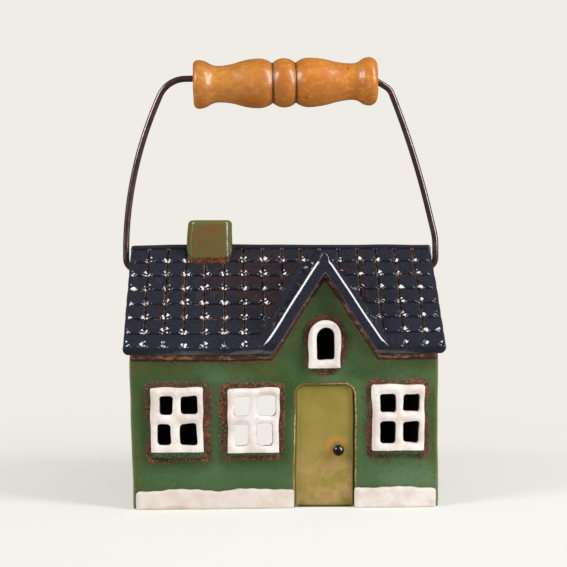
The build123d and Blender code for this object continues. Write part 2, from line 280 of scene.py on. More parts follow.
def add_piece(name, mesh, material, body, slot, *nodes):
    """A smooth piece that rides on a body and stands for its solids."""
    mesh.name = name
    mesh.materials.clear()
    mesh.materials.append(material)
    mesh.shade_smooth()
    piece = bpy.data.objects.new(name, mesh)
    scene.collection.objects.link(piece)
    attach(piece, body)
    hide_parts(*nodes)
    return piece


# Outlines in X and Z

def arc_points(centre, radius, start, end, steps):
    """Points on an arc between two angles in degrees."""
    angles = np.radians(np.linspace(start, end, steps))
    return [(centre[0] + radius * math.cos(a), centre[1] + radius * math.sin(a)) for a in angles]


def rounded_box(left, right, low, high, radius, foot_radius=None):
    """Outline of a rectangle with rounded corners, which can differ at the foot."""
    foot = radius if foot_radius is None else foot_radius
    outline = []
    for x, z, r, start in [
        (right - foot, low + foot, foot, -90),
        (right - radius, high - radius, radius, 0),
        (left + radius, high - radius, radius, 90),
        (left + foot, low + foot, foot, 180),
    ]:
        outline += arc_points((x, z), r, start, start + 90, 6) if r else [(x, z)]
    return outline


def arched(left, right, low, high, foot_radius):
    """Outline of an arch: rounded foot corners and a half round top."""
    radius = (right - left) / 2
    foot = foot_radius
    return (
        arc_points((right - foot, low + foot), foot, -90, 0, 4)
        + arc_points((left + radius, high - radius), radius, 0, 180, 17)
        + arc_points((left + foot, low + foot), foot, 180, 270, 4)
    )


def box_distance(points, box, radius=0.0):
    """Distance in X and Z to the outline of a rounded rectangle, negative inside."""
    left, right, low, high = box
    across = np.maximum(left + radius - points[:, 0], points[:, 0] - right + radius)
    along = np.maximum(low + radius - points[:, 2], points[:, 2] - high + radius)
    outside = np.hypot(np.maximum(across, 0), np.maximum(along, 0))
    return outside + np.minimum(np.maximum(across, along), 0) - radius


# Windows and door of the front wall
# A pane is its left, right, low and high edge in millimetres from the frame's corner.

def window(node, trim, sill_drop, panes):
    """Places of a frame and its panes; the trim moves the frame's left, right, low and high edges."""
    low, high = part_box(node)
    corner = (low.x, low.x, low.z, low.z)
    edges = (low.x, high.x, low.z, high.z)
    return {
        "node": node,
        "box": tuple(edge + change * MM for edge, change in zip(edges, trim)),
        "front": low.y,
        "sill_drop": sill_drop * MM,
        "panes": [tuple(c + size * MM for c, size in zip(corner, pane)) for pane in panes],
    }


windows = [
    window("left_window_frame", (0.8, 0.35, 1.1, 0), 2.6,
           [(5.1, 10.8, 18.0, 26.2), (14.2, 21.6, 18.1, 26.3),
            (3.7, 9.8, 4.6, 13.8), (13.8, 21.5, 4.0, 14.0)]),
    window("middle_window_frame", (0.7, 0.2, 0.3, -0.5), 1.3,
           [(3.7, 10.9, 17.1, 26.2), (14.0, 22.2, 17.0, 25.9),
            (3.5, 10.3, 3.5, 13.4), (14.0, 21.0, 3.6, 13.5)]),
    window("right_window_frame", (0.45, -0.25, 0.5, -0.3), 1.8,
           [(4.0, 11.2, 17.0, 25.6), (14.2, 21.4, 17.9, 25.5),
            (3.8, 10.8, 3.5, 13.4), (13.9, 21.1, 3.8, 13.3)]),
]
arch_window = window("arched_window_frame", (0.5, -0.4, -0.3, -0.7), 0.8, [(4.2, 12.3, 3.2, 17.6)])
pane_corner = 1.2 * MM
sill_cut = 0.85 * MM
frame_corner = 1.0 * MM
door_box = (door_low.x + 0.4 * MM, door_high.x + 0.3 * MM, door_low.z, door_high.z - 0.8 * MM)
door_corner = 4.0 * MM
opening_box = (-30 * MM, 30 * MM, 5 * MM, 52 * MM)
opening_corner = 20 * MM


def pane_outlines():
    """Holes in the wall behind the panes, cut lower than the frames so that their sills stay out of sight."""
    outlines = []
    for item in windows:
        for left, right, low, high in item["panes"]:
            outlines.append(rounded_box(left, right, low - sill_cut, high, pane_corner))
    left, right, low, high = arch_window["panes"][0]
    outlines.append(arched(left, right, low - sill_cut, high, pane_corner))
    return outlines


# Cross roof: heights of its outer face and its soffit across X

dormer_front = dormer_left_low.y
dormer_apex_lean = 0.4 * MM
dormer_foot_half = 28.2 * MM
dormer_foot_inner = 24.4 * MM
dormer_foot_lap = 2.8 * MM
dormer_apex_height = 116.1 * MM
dormer_soffit = wall_high.z
dormer_apex_round = 0.9 * MM
dormer_inner_round = 0.5 * MM


def ridged(x, apex_x, apex, left_slope, right_slope, rounding):
    """Height of two slopes that meet at a rounded apex."""
    offset = x - apex_x
    soft = np.sqrt(offset * offset + rounding * rounding)
    return apex - (left_slope + right_slope) / 2 * soft - (right_slope - left_slope) / 2 * offset


def dormer_outer(x):
    rise = dormer_apex_height - eave_top
    return ridged(
        x, dormer_x - dormer_apex_lean, dormer_apex_height,
        rise / (dormer_foot_half - dormer_apex_lean), rise / (dormer_foot_half + dormer_apex_lean),
        dormer_apex_round,
    )


def dormer_inner(x):
    slope = (dormer_soffit - eave_bottom) / dormer_foot_inner
    return ridged(x, dormer_x, dormer_soffit, slope, slope, dormer_inner_round)


# Shader helpers

class Shader:
    """A material with one glossy shader, and short ways to feed it."""

    def __init__(self, name):
        self.material = bpy.data.materials.new(name)
        self.material.use_nodes = True
        self.tree = self.material.node_tree
        self.tree.nodes.clear()
        output = self.tree.nodes.new("ShaderNodeOutputMaterial")
        self.surface = self.tree.nodes.new("ShaderNodeBsdfPrincipled")
        self.tree.links.new(self.surface.outputs["BSDF"], output.inputs["Surface"])
        self.coordinates = self.tree.nodes.new("ShaderNodeTexCoord").outputs["Object"]

    def add(self, kind, inputs, **settings):
        made = self.tree.nodes.new(kind)
        for key, value in settings.items():
            setattr(made, key, value)
        for key, value in inputs.items():
            self.feed(made.inputs[key], value)
        return made

    def feed(self, socket, value):
        if isinstance(value, bpy.types.NodeSocket):
            self.tree.links.new(value, socket)
        else:
            socket.default_value = value

    def set(self, **inputs):
        """Values or links for the glossy shader, with spaces in a name written as underscores."""
        for key, value in inputs.items():
            self.feed(self.surface.inputs[key.replace("_", " ")], value)

    def mask(self, name):
        return self.add("ShaderNodeAttribute", {}, attribute_name=name).outputs["Fac"]

    def noise(self, size, detail=3.0, roughness=0.55, stretch=(1, 1, 1), shift=0.0):
        """Noise with features of about the given size in metres."""
        scaled = self.add("ShaderNodeMapping", {
            "Vector": self.coordinates,
            "Scale": tuple(s / size for s in stretch),
            "Location": (shift, shift, shift),
        })
        made = self.add("ShaderNodeTexNoise", {
            "Vector": scaled.outputs["Vector"], "Scale": 1.0, "Detail": detail, "Roughness": roughness,
        })
        return made.outputs["Fac"]

    def cells(self, size, shift=0.0):
        """Distance to the nearest of scattered points, for pits and specks."""
        scaled = self.add("ShaderNodeMapping", {
            "Vector": self.coordinates, "Scale": (1 / size,) * 3, "Location": (shift,) * 3,
        })
        made = self.add("ShaderNodeTexVoronoi", {"Vector": scaled.outputs["Vector"], "Scale": 1.0})
        return made.outputs["Distance"]

    def ramp(self, value, low, high, to_low=0.0, to_high=1.0):
        """Smooth change between two values."""
        return self.add("ShaderNodeMapRange", {
            "Value": value, "From Min": low, "From Max": high, "To Min": to_low, "To Max": to_high,
        }, interpolation_type="SMOOTHSTEP").outputs["Result"]

    def math(self, operation, first, second=0.0):
        made = self.tree.nodes.new("ShaderNodeMath")
        made.operation = operation
        made.use_clamp = False
        self.feed(made.inputs[0], first)
        self.feed(made.inputs[1], second)
        return made.outputs[0]

    def times(self, first, second):
        return self.math("MULTIPLY", first, second)

    def plus(self, first, second):
        return self.math("ADD", first, second)

    def minus(self, first, second):
        return self.math("SUBTRACT", first, second)

    def mix(self, factor, first, second):
        """Mix of two colours."""
        made = self.tree.nodes.new("ShaderNodeMix")
        made.data_type = "RGBA"
        self.feed(made.inputs["Factor"], factor)
        self.feed(made.inputs[6], first)
        self.feed(made.inputs[7], second)
        return made.outputs[2]

    def bump(self, height, distance, strength=1.0):
        made = self.add("ShaderNodeBump", {"Height": height, "Distance": distance, "Strength": strength})
        return made.outputs["Normal"]

    def height(self):
        """Height above the table."""
        split = self.add("ShaderNodeSeparateXYZ", {"Vector": self.coordinates})
        return split.outputs["Z"]


def broken(shader, mask, size, shift=0.0):
    """A mask with a ragged edge, as glaze breaks over an edge."""
    ragged = shader.minus(shader.noise(size, 4.0, 0.7, shift=shift), 0.5)
    return shader.ramp(shader.plus(mask, shader.times(ragged, 1.7)), 0.40, 0.62)


# Clay and glaze colours
bare_clay = srgb(90, 57, 37)
dark_clay = srgb(42, 25, 17)
rust_clay = srgb(150, 84, 40)
tan_clay = srgb(166, 120, 80)
green_deep = srgb(54, 82, 44)
green_cool = srgb(78, 104, 70)
green_olive = srgb(78, 86, 44)
navy_deep = srgb(25, 25, 34)
navy_light = srgb(43, 45, 59)
white_warm = srgb(231, 224, 219)
white_shade = srgb(213, 201, 193)


def crust_colour(shader):
    """Rough clay that shows where the glaze is thin, speckled from dark to rust and tan."""
    fine = shader.noise(0.62 * MM, 3.0, 0.7)
    wide = shader.noise(5.0 * MM, 2.0, 0.5, shift=3.0)
    brown = shader.mix(shader.ramp(fine, 0.36, 0.58), dark_clay, bare_clay)
    brown = shader.mix(shader.ramp(fine, 0.56, 0.68), brown, tan_clay)
    rusty = shader.times(shader.ramp(fine, 0.44, 0.6), shader.ramp(wide, 0.46, 0.64))
    return shader.mix(rusty, brown, rust_clay)


def seam_colour(shader):
    """Clay along the joint under the roof: tan and rust next to the roof, dark below, then rust again."""
    ragged = shader.minus(shader.noise(1.3 * MM, 3.0, 0.7), 0.5)
    place = shader.plus(shader.mask("seam_place"), shader.times(ragged, 0.5))
    flecks = shader.ramp(shader.noise(2.4 * MM, 4.0, 0.7, (0.5, 1, 1), 6.0), 0.48, 0.64)
    near = shader.mix(flecks, srgb(92, 54, 30), srgb(172, 124, 76))
    middle = shader.mix(shader.ramp(place, 0.34, 0.50), near, srgb(48, 28, 19))
    return shader.mix(shader.ramp(place, 0.58, 0.74), middle, crust_colour(shader))


def green_glaze():
    shader = Shader("green_glaze")
    crust = broken(shader, shader.mask("crust"), 1.0 * MM)
    rim = broken(shader, shader.mask("rim"), 1.6 * MM, shift=5.0)
    inside = shader.mask("inside")
    cloud = shader.noise(22 * MM, 3.0, 0.55)
    fine = shader.noise(1.1 * MM, 3.0, 0.6)
    green = shader.mix(shader.ramp(cloud, 0.35, 0.68), green_deep, green_cool)
    green = shader.mix(shader.ramp(shader.height(), 0.055, 0.010, 0.0, 0.55), green, green_cool)
    olive = shader.times(shader.mask("olive"), shader.ramp(shader.noise(9 * MM, 3.0, 0.6), 0.3, 0.62))
    green = shader.mix(olive, green, green_olive)
    # Painted shade: darker green beside the window frames on the left half of the front wall
    green = shader.mix(shader.times(shader.mask("deep"), 0.85), green, srgb(52, 76, 40))
    # Painted light: lighter green towards the lower right of the front wall, and a lighter patch over the
    # door
    green = shader.mix(shader.times(shader.mask("painted_light_right"), 0.6), green, srgb(98, 122, 88))
    green = shader.mix(shader.ramp(fine, 0.56, 0.74, 0.0, 0.45), green, srgb(98, 112, 74))
    green = shader.mix(shader.ramp(fine, 0.44, 0.28, 0.0, 0.5), green, srgb(52, 58, 32))
    blots = shader.ramp(shader.noise(2.2 * MM, 4.0, 0.7), 0.50, 0.68)
    stained = shader.times(shader.mask("stain"), blots)
    green = shader.mix(stained, green, srgb(84, 62, 34))
    # Painted highlight: a pale line along the front vertical edges of the walls
    green = shader.mix(shader.times(shader.mask("painted_edge_highlight"), 0.6), green, srgb(150, 158, 126))
    clay = shader.mix(shader.mask("seam"), crust_colour(shader), seam_colour(shader))
    colour = shader.mix(crust, green, clay)
    colour = shader.mix(rim, colour, shader.mix(shader.ramp(cloud, 0.4, 0.6), rust_clay, srgb(206, 148, 96)))
    colour = shader.mix(inside, colour, shader.mix(fine, srgb(46, 29, 21), srgb(74, 47, 33)))
    # Here it marks only the matte crust and the inside, for roughness
    dull_and_painted_shade = shader.math("MAXIMUM", crust, inside)
    rough = shader.ramp(dull_and_painted_shade, 0.0, 1.0, 0.16, 0.62)
    grit = shader.times(fine, shader.ramp(dull_and_painted_shade, 0, 1, 0.05, 0.6))
    relief = shader.plus(shader.times(cloud, 0.5), grit)
    shader.set(Base_Color=colour, Roughness=rough, IOR=1.52, Normal=shader.bump(relief, 0.5 * MM, 0.6))
    return shader.material


def navy_glaze():
    shader = Shader("navy_glaze")
    groove = shader.mask("groove")
    ledge = shader.mask("ledge")
    fine = shader.noise(0.8 * MM, 3.0, 0.65)
    cloud = shader.noise(14 * MM, 3.0, 0.55)
    patch = shader.noise(7.5 * MM, 3.0, 0.6, shift=7.0)
    navy = shader.mix(shader.ramp(fine, 0.36, 0.66), navy_deep, navy_light)
    navy = shader.mix(shader.ramp(cloud, 0.45, 0.75, 0.0, 0.5), navy, srgb(40, 42, 56))
    # thin marks the grooves and the ledges: the rust there is thin glaze, the near black is painted shade
    thin = shader.math("MAXIMUM", groove, ledge)
    side = shader.times(shader.ramp(groove, 0.25, 0.5), shader.ramp(groove, 0.92, 0.7))
    side = shader.times(side, shader.ramp(shader.noise(3.0 * MM, 3.0, 0.6, shift=2.0), 0.42, 0.6))
    # Painted shade: near black in the grooves and in the band under each tile's lower edge
    colour = shader.mix(shader.ramp(thin, 0.45, 0.85, 0.0, 0.9), navy, srgb(22, 17, 16))
    colour = shader.mix(side, colour, srgb(118, 88, 66))
    rusty = shader.times(shader.ramp(thin, 0.4, 0.7), shader.ramp(patch, 0.57, 0.70))
    rusty = shader.times(rusty, shader.ramp(fine, 0.40, 0.62))
    colour = shader.mix(rusty, colour, srgb(132, 76, 40))
    edge = broken(shader, shader.mask("edge"), 1.2 * MM)
    colour = shader.mix(edge, colour, srgb(104, 74, 50))
    # Painted highlight: a pale grey line along the lower inner edge of the cross roof
    colour = shader.mix(shader.times(shader.mask("painted_edge_highlight"), 0.55), colour, srgb(112, 112, 116))
    waves = shader.times(shader.noise(3.2 * MM, 2.0, 0.5), 0.5)
    relief = shader.plus(waves, shader.times(fine, 0.06))
    relief = shader.times(relief, shader.ramp(shader.mask("calm"), 0, 1, 1.0, 0.04))
    shader.set(Base_Color=colour, Roughness=shader.ramp(rusty, 0, 1, 0.10, 0.35), IOR=1.55)
    shader.set(Coat_Weight=0.5, Coat_Roughness=0.05, Coat_IOR=1.5, Normal=shader.bump(relief, 0.4 * MM, 0.5))
    return shader.material


def white_glaze():
    shader = Shader("white_glaze")
    face = shader.mask("face")
    edge = shader.mask("edge")
    fine = shader.noise(0.9 * MM, 3.0, 0.6)
    cloud = shader.noise(9 * MM, 3.0, 0.55)
    white = shader.mix(shader.ramp(cloud, 0.38, 0.66), white_warm, white_shade)
    smears = shader.ramp(shader.noise(6 * MM, 4.0, 0.65, (0.35, 1, 1.6)), 0.46, 0.66)
    foot = shader.times(shader.ramp(shader.height(), 0.004, 0.0005), smears)
    white = shader.mix(shader.times(foot, 0.75), white, srgb(178, 140, 108))
    # Painted shade: the plinths turn greyer, the left one more than the right
    white = shader.mix(shader.mask("dull_and_painted_shade"), white, srgb(206, 190, 180))
    specks = shader.ramp(shader.cells(4.5 * MM), 0.085, 0.05)
    white = shader.mix(shader.times(specks, 0.6), white, srgb(110, 92, 74))
    green = shader.mix(shader.ramp(fine, 0.4, 0.62), srgb(44, 60, 36), srgb(76, 96, 62))
    ragged = shader.minus(shader.noise(1.4 * MM, 3.0, 0.6), 0.5)
    shown = shader.ramp(shader.plus(face, shader.times(ragged, 0.5)), 0.38, 0.56)
    colour = shader.mix(shown, green, white)
    line = shader.times(broken(shader, edge, 1.5 * MM), 0.75)
    colour = shader.mix(line, colour, srgb(172, 112, 66))
    relief = shader.plus(cloud, shader.times(fine, 0.1))
    shader.set(Base_Color=colour, Roughness=0.26, IOR=1.5, Normal=shader.bump(relief, 0.4 * MM, 0.5))
    return shader.material


def ochre_glaze():
    shader = Shader("ochre_glaze")
    rise = shader.mask("rise")
    fine = shader.noise(0.9 * MM, 3.0, 0.6)
    cloud = shader.noise(16 * MM, 3.0, 0.55)
    low = shader.ramp(shader.height(), 0.036, 0.004)
    colour = shader.mix(shader.ramp(cloud, 0.35, 0.68), srgb(134, 121, 53), srgb(148, 132, 64))
    worn = shader.times(low, shader.ramp(shader.noise(6 * MM, 3.0, 0.6), 0.36, 0.62))
    colour = shader.mix(worn, colour, srgb(170, 140, 92))
    colour = shader.mix(shader.ramp(fine, 0.56, 0.72, 0.0, 0.5), colour, srgb(176, 132, 72))
    ring = shader.times(shader.mask("ring"), shader.ramp(cloud, 0.3, 0.6))
    colour = shader.mix(shader.times(ring, 0.7), colour, srgb(190, 128, 58))
    # Painted shade: the recessed rim of the door turns green, then dark green towards the wall
    colour = shader.mix(shader.times(shader.ramp(rise, 0.12, 0.6), 0.85), colour, srgb(112, 116, 52))
    colour = shader.mix(shader.ramp(rise, 0.55, 0.9), colour, srgb(74, 82, 40))
    relief = shader.plus(cloud, shader.times(fine, 0.08))
    shader.set(Base_Color=colour, Roughness=0.2, IOR=1.52, Normal=shader.bump(relief, 0.4 * MM, 0.5))
    return shader.material


def brown_glaze():
    shader = Shader("brown_glaze")
    fine = shader.noise(0.9 * MM, 3.0, 0.6)
    cloud = shader.noise(7 * MM, 4.0, 0.6)
    colour = shader.mix(shader.ramp(cloud, 0.36, 0.64), srgb(110, 84, 46), srgb(100, 92, 54))
    colour = shader.mix(shader.ramp(fine, 0.55, 0.72, 0.0, 0.5), colour, srgb(128, 88, 48))
    edge = shader.times(shader.mask("edge"), shader.ramp(cloud, 0.3, 0.55))
    colour = shader.mix(edge, colour, srgb(92, 104, 56))
    foot = broken(shader, shader.mask("foot"), 1.6 * MM)
    colour = shader.mix(foot, colour, crust_colour(shader))
    relief = shader.plus(cloud, shader.times(fine, 0.1))
    shader.set(Base_Color=colour, Roughness=0.16, IOR=1.52, Normal=shader.bump(relief, 0.4 * MM, 0.5))
    return shader.material


def black_glaze():
    shader = Shader("black_glaze")
    fine = shader.noise(0.5 * MM, 3.0, 0.6)
    colour = shader.mix(shader.ramp(fine, 0.4, 0.65), srgb(14, 11, 14), srgb(36, 28, 32))
    shader.set(Base_Color=colour, Roughness=0.07, IOR=1.6, Coat_Weight=0.5, Coat_Roughness=0.04)
    shader.set(Normal=shader.bump(fine, 0.05 * MM, 0.4))
    return shader.material


def brown_wire():
    shader = Shader("brown_wire")
    along = shader.noise(5 * MM, 4.0, 0.6)
    fine = shader.noise(0.5 * MM, 3.0, 0.6)
    colour = shader.mix(shader.ramp(along, 0.36, 0.66), srgb(58, 34, 30), srgb(80, 50, 45))
    colour = shader.mix(shader.ramp(fine, 0.60, 0.76, 0.0, 0.4), colour, srgb(112, 82, 76))
    rough = shader.ramp(fine, 0.3, 0.7, 0.18, 0.28)
    shader.set(Base_Color=colour, Roughness=rough, Metallic=0.2, IOR=1.5)
    shader.set(Coat_Weight=1.0, Coat_Roughness=0.16, Coat_IOR=1.7)
    shader.set(Normal=shader.bump(shader.plus(fine, along), 0.03 * MM, 0.4))
    return shader.material


def varnished_wood():
    shader = Shader("varnished_wood")
    wander = shader.noise(26 * MM, 2.0, 0.5)
    fibre = shader.noise(0.7 * MM, 5.0, 0.7, (0.035, 1, 1))
    streak = shader.noise(4.2 * MM, 4.0, 0.6, (0.10, 1, 1), 4.0)
    colour = shader.mix(shader.ramp(wander, 0.34, 0.68), srgb(198, 118, 30), srgb(224, 154, 60))
    mottle = shader.noise(2.0 * MM, 4.0, 0.7, (0.6, 1, 1), 5.0)
    colour = shader.mix(shader.ramp(mottle, 0.36, 0.64, 0.45, 0.0), colour, srgb(176, 98, 38))
    colour = shader.mix(shader.ramp(mottle, 0.52, 0.70, 0.0, 0.35), colour, srgb(236, 178, 94))
    colour = shader.mix(shader.ramp(streak, 0.5, 0.68, 0.0, 0.4), colour, srgb(166, 92, 36))
    colour = shader.mix(shader.ramp(fibre, 0.56, 0.74, 0.0, 0.25), colour, srgb(150, 84, 36))
    turned = shader.noise(0.9 * MM, 3.0, 0.6, (1, 0.04, 0.04), 9.0)
    colour = shader.mix(shader.ramp(turned, 0.52, 0.72, 0.0, 0.28), colour, srgb(180, 106, 46))
    colour = shader.mix(shader.times(shader.mask("tone"), 0.32), colour, srgb(150, 80, 26))
    holes = shader.ramp(shader.cells(9 * MM, 2.0), 0.075, 0.045)
    colour = shader.mix(shader.times(holes, 0.8), colour, srgb(84, 44, 18))
    colour = shader.mix(shader.times(shader.mask("hollow"), 0.92), colour, srgb(66, 34, 16))
    relief = shader.plus(shader.times(fibre, 0.25), shader.noise(5 * MM, 2.0, 0.5, (0.4, 1, 1)))
    shader.set(Base_Color=colour, Roughness=0.42, IOR=1.5, Coat_Weight=0.4, Coat_Roughness=0.18)
    shader.set(Normal=shader.bump(relief, 0.12 * MM, 0.6))
    return shader.material


def cup_foil():
    shader = Shader("cup_foil")
    fine = shader.noise(0.8 * MM, 4.0, 0.6, (1, 1, 0.15))
    colour = shader.mix(fine, srgb(188, 190, 192), srgb(222, 222, 220))
    shader.set(Base_Color=colour, Metallic=1.0, Roughness=shader.ramp(fine, 0.3, 0.7, 0.22, 0.42))
    shader.set(Normal=shader.bump(fine, 0.05 * MM, 0.5))
    return shader.material


def candle_wax():
    shader = Shader("candle_wax")
    cloud = shader.noise(6 * MM, 4.0, 0.6)
    colour = shader.mix(shader.ramp(cloud, 0.36, 0.66), srgb(240, 236, 224), srgb(228, 220, 204))
    shader.set(Base_Color=colour, Roughness=0.38, Subsurface_Weight=0.3, Subsurface_Scale=2 * MM)
    shader.set(Normal=shader.bump(cloud, 0.2 * MM, 0.5))
    return shader.material


def cotton_wick():
    shader = Shader("cotton_wick")
    fibre = shader.noise(0.25 * MM, 3.0, 0.6, (1, 1, 0.4))
    tip = shader.ramp(shader.height(), wick_high.z - 3 * MM, wick_high.z - 1 * MM)
    colour = shader.mix(fibre, srgb(214, 206, 188), srgb(240, 236, 226))
    colour = shader.mix(shader.times(tip, shader.ramp(fibre, 0.2, 0.6)), colour, srgb(210, 196, 168))
    shader.set(Base_Color=colour, Roughness=0.85, Normal=shader.bump(fibre, 0.1 * MM, 0.8))
    return shader.material


def tin_foot():
    shader = Shader("tin_foot")
    fine = shader.noise(0.6 * MM, 3.0, 0.6)
    colour = shader.mix(fine, srgb(150, 150, 152), srgb(186, 186, 186))
    shader.set(Base_Color=colour, Metallic=1.0, Roughness=shader.ramp(fine, 0.3, 0.7, 0.3, 0.5))
    return shader.material


# Tiled roof: both slopes and the ridge roll as one glazed skin over a plain soffit
tile_step = 0.85 * MM
groove_half = 0.80 * MM
groove_depth = 0.95 * MM
corner_reach = 2.45 * MM
corner_turn = np.array([0.67, 0.745])
corner_depth = 1.5 * MM
left_valley = 7.5 * MM
right_valley = 4.5 * MM
verge_radius = 1.2 * MM
eave_corner = 3.4 * MM
skin_lap = 0.15 * MM
skin_depth = 3.4 * MM
corner_width = 2.0 * MM
split_step = 0.55 * MM
chance = np.random.default_rng(3)
corner_sizes = chance.uniform(0.72, 1.2, (tile_rows, tile_columns, 2)) * [1.08, 0.88]
corner_rises = chance.uniform(0.0, 0.7, (tile_rows, tile_columns, 2)) * MM
corner_rises[-1] += 1.5 * MM
corner_splits = chance.uniform(0.9, 2.6, (tile_rows, tile_columns, 2)) * MM


def tile_relief(x, u):
    """Height of the tiles above the plain slope, with masks for the grooves and the ledges."""
    column = (x + roof_half_length) / tile_width
    nth = np.clip(np.floor(column), 0, tile_columns - 1).astype(int)
    across = (column - nth - 0.5) * tile_width
    row = np.clip(np.floor((u - row_start) / row_length), 0, tile_rows - 1).astype(int)
    to_foot = np.clip(row_start + (row + 1) * row_length - u, 0, row_length)
    from_top = row_length - to_foot
    to_groove = np.maximum(tile_width / 2 - np.abs(across), 0)
    last = row == tile_rows - 1
    carved = np.where(last, 0.12 + 0.5 * (1 - ease(0.4 * MM, 1.6 * MM, to_foot)), 1.0)
    wedge = -tile_step * to_foot / row_length
    lip_radius = 0.5 * MM
    lip = np.maximum(lip_radius - to_foot, 0)
    wedge -= lip_radius - np.sqrt(np.maximum(lip_radius ** 2 - lip ** 2, 0))
    crown = -0.22 * MM * (2 * across / tile_width) ** 2
    at_verge = (nth == 0) & (across < 0) | (nth == tile_columns - 1) & (across > 0)
    carved = np.where(at_verge, 0, carved)
    groove = -groove_depth * carved * (1 - ease(0, groove_half, to_groove))
    side = (across > 0).astype(int)
    size = corner_sizes[row, nth, side] * np.where(at_verge, 1.2, 1.0) * np.where(last, 0.85, 1.0)
    above = to_foot - corner_rises[row, nth, side]
    above -= split_step * (above > corner_splits[row, nth, side])
    reach = corner_reach * size - corner_turn[0] * to_groove - corner_turn[1] * np.maximum(above, 0)
    reach = np.maximum(reach, 0)
    width = corner_width * size * np.where(at_verge, 1.4, 1.0)
    blunt = 1 - ease(width - 0.12 * MM, width + 0.2 * MM, to_groove)
    corner = -np.minimum(0.75 * reach + 0.05 * reach * reach / MM, corner_depth) * blunt
    height = wedge + crown + np.minimum(groove, corner)
    groove_mask = (1 - ease(0, 1.25 * groove_half, to_groove)) * np.where(last, 0.75 * carved, 1.0)
    groove_mask = np.where(at_verge, 0, groove_mask)
    # Band at the head of each row, under the lower edge of the tile above, where the navy glaze paints shade
    ledge_mask = 1 - ease(0.3 * MM, 0.98 * MM, from_top)
    on_tiles = u > row_start
    return (
        np.where(on_tiles, height, 0),
        np.where(on_tiles, groove_mask, 0),
        np.where(on_tiles, ledge_mask, 0),
    )


def valley_lift(x, u):
    """How far the front slope is raised to meet the cross roof, and how much of its tiling is left."""
    above = dormer_outer(x) - ridge_height + u * math.sin(roof_pitch)
    fade = ease(4 * MM, 26 * MM, u) * ease(-2 * MM, 14 * MM, slope_length - u)
    size = np.where(x < dormer_x, left_valley, right_valley) / math.cos(roof_pitch) * np.maximum(fade, 0.05)
    tiled = 1 - ease(-1.2 * size, -0.35 * size, above)
    lift = np.maximum(above, 0) + np.maximum(size - np.abs(above), 0) ** 2 / (4 * size)
    from_front = slope_length * math.cos(roof_pitch) - u * math.cos(roof_pitch)
    lap = skin_lap * np.clip((from_front - 6 * MM) / (2 * MM), -1, 1)
    return lift + lap * ease(-0.3 * size, 0.3 * size, above), tiled


def round_corners(x, z):
    """X drawn in so that the lower corners of the eave are round when seen from the front."""
    low = np.clip(1 - (z - eave_bottom) / eave_corner, 0, 1)
    shrink = np.sqrt(1 - np.minimum(low, 0.97) ** 2)
    beyond = np.maximum(np.abs(x) - roof_half_length + eave_corner, 0)
    return np.sign(x) * (np.abs(x) - beyond * (1 - shrink))


def roof_section():
    """The front half of the roof's section, from the soffit of the eave up to the ridge."""
    radius = eave_edge_radius
    base = []
    out = []
    along = []
    share = []

    def put(u, h, normal_u, normal_h, weight):
        point = np.array([0, 0, ridge_height]) + slope_down * u + slope_out * h
        base.append(point)
        out.append(slope_down * normal_u + slope_out * normal_h)
        along.append(u)
        share.append(weight)

    for angle in np.radians(np.linspace(-90, 0, 5)):
        put(slope_length - radius + radius * math.cos(angle),
            -roof_thickness + radius + radius * math.sin(angle),
            math.cos(angle), math.sin(angle), 0.0)
    for height in np.linspace(-roof_thickness + radius, -radius, 8)[1:-1]:
        put(slope_length, height, 1, 0, 0.0)
    for angle in np.radians(np.linspace(0, 90, 9)):
        put(slope_length - radius + radius * math.cos(angle), -radius + radius * math.sin(angle),
            math.cos(angle), math.sin(angle), math.sin(angle) ** 2)
    foot_steps = np.array([0.005, 0.12, 0.28, 0.5, 0.8, 1.2, 1.6, 2.0, 2.4, 2.9, 3.5, 4.3, 5.6]) * MM
    head_steps = np.array([1.0, 0.4, 0.03]) * MM
    for row in range(tile_rows - 1, -1, -1):
        top = row_start + row * row_length
        for step in np.concatenate([top + row_length - foot_steps, top + head_steps]):
            if step < slope_length - 1.05 * radius:
                put(step, 0, 0, 1, 1.0)
    for angle in np.linspace(roof_pitch, 0, 9):
        point = np.array([0, -ridge_radius * math.sin(angle), ridge_roll + ridge_radius * math.cos(angle)])
        base.append(point)
        out.append(np.array([0, -math.sin(angle), math.cos(angle)]))
        along.append(row_start - 1e-6)
        share.append(1.0)
    return np.array(base), np.array(out), np.array(along), np.array(share)


def roof_stations():
    """X of the roof's sections, close together at the grooves, and how far each is drawn in at the verges."""
    near = np.array([0.0, 0.2, 0.42, 0.7, 1.05, 1.5, 2.1, 2.9, 3.9]) * MM
    stations = []
    for column in range(tile_columns):
        left = -roof_half_length + column * tile_width
        stations += list(left + near)
        stations += list(left + tile_width - near[:0:-1])
    stations = np.array([x for x in stations if abs(x) < roof_half_length - 1.05 * verge_radius])
    turn = np.radians(np.linspace(0, 90, 6))
    ends = roof_half_length - verge_radius + verge_radius * np.sin(turn)
    inset = verge_radius * (1 - np.cos(turn))
    x = np.concatenate([-ends[::-1], stations, ends])
    drawn = np.concatenate([inset[::-1], np.zeros(len(stations)), inset])
    return x, drawn


def under_section():
    """The soffit line from the rear eave over the ridge to the front eave."""
    reach = half_depth + 0.5 * MM
    y = np.concatenate([[reach], np.linspace(0, -reach, 17)])
    return np.stack([0 * y, y, soffit_ridge - np.abs(y) * math.tan(roof_pitch)], 1)


def under_cross_roof(points):
    """Front points raised into the thickness of the cross roof, so that its attic is open to the house."""
    floor = dormer_outer(points[..., 0]) - skin_depth
    raised = np.where(points[..., 1] < 0, np.maximum(points[..., 2], floor), points[..., 2])
    inside = ease(dormer_foot_half, dormer_foot_half - 5 * MM, np.abs(points[..., 0] - dormer_x))
    behind = dormer_front + 2.6 * MM * np.maximum(ease(0, 2 * MM, raised - points[..., 2]), inside)
    result = points.copy()
    result[..., 2] = raised
    result[..., 1] = np.maximum(points[..., 1], behind)
    result[..., 1] = np.where(points[..., 1] < 0, result[..., 1], points[..., 1])
    return result


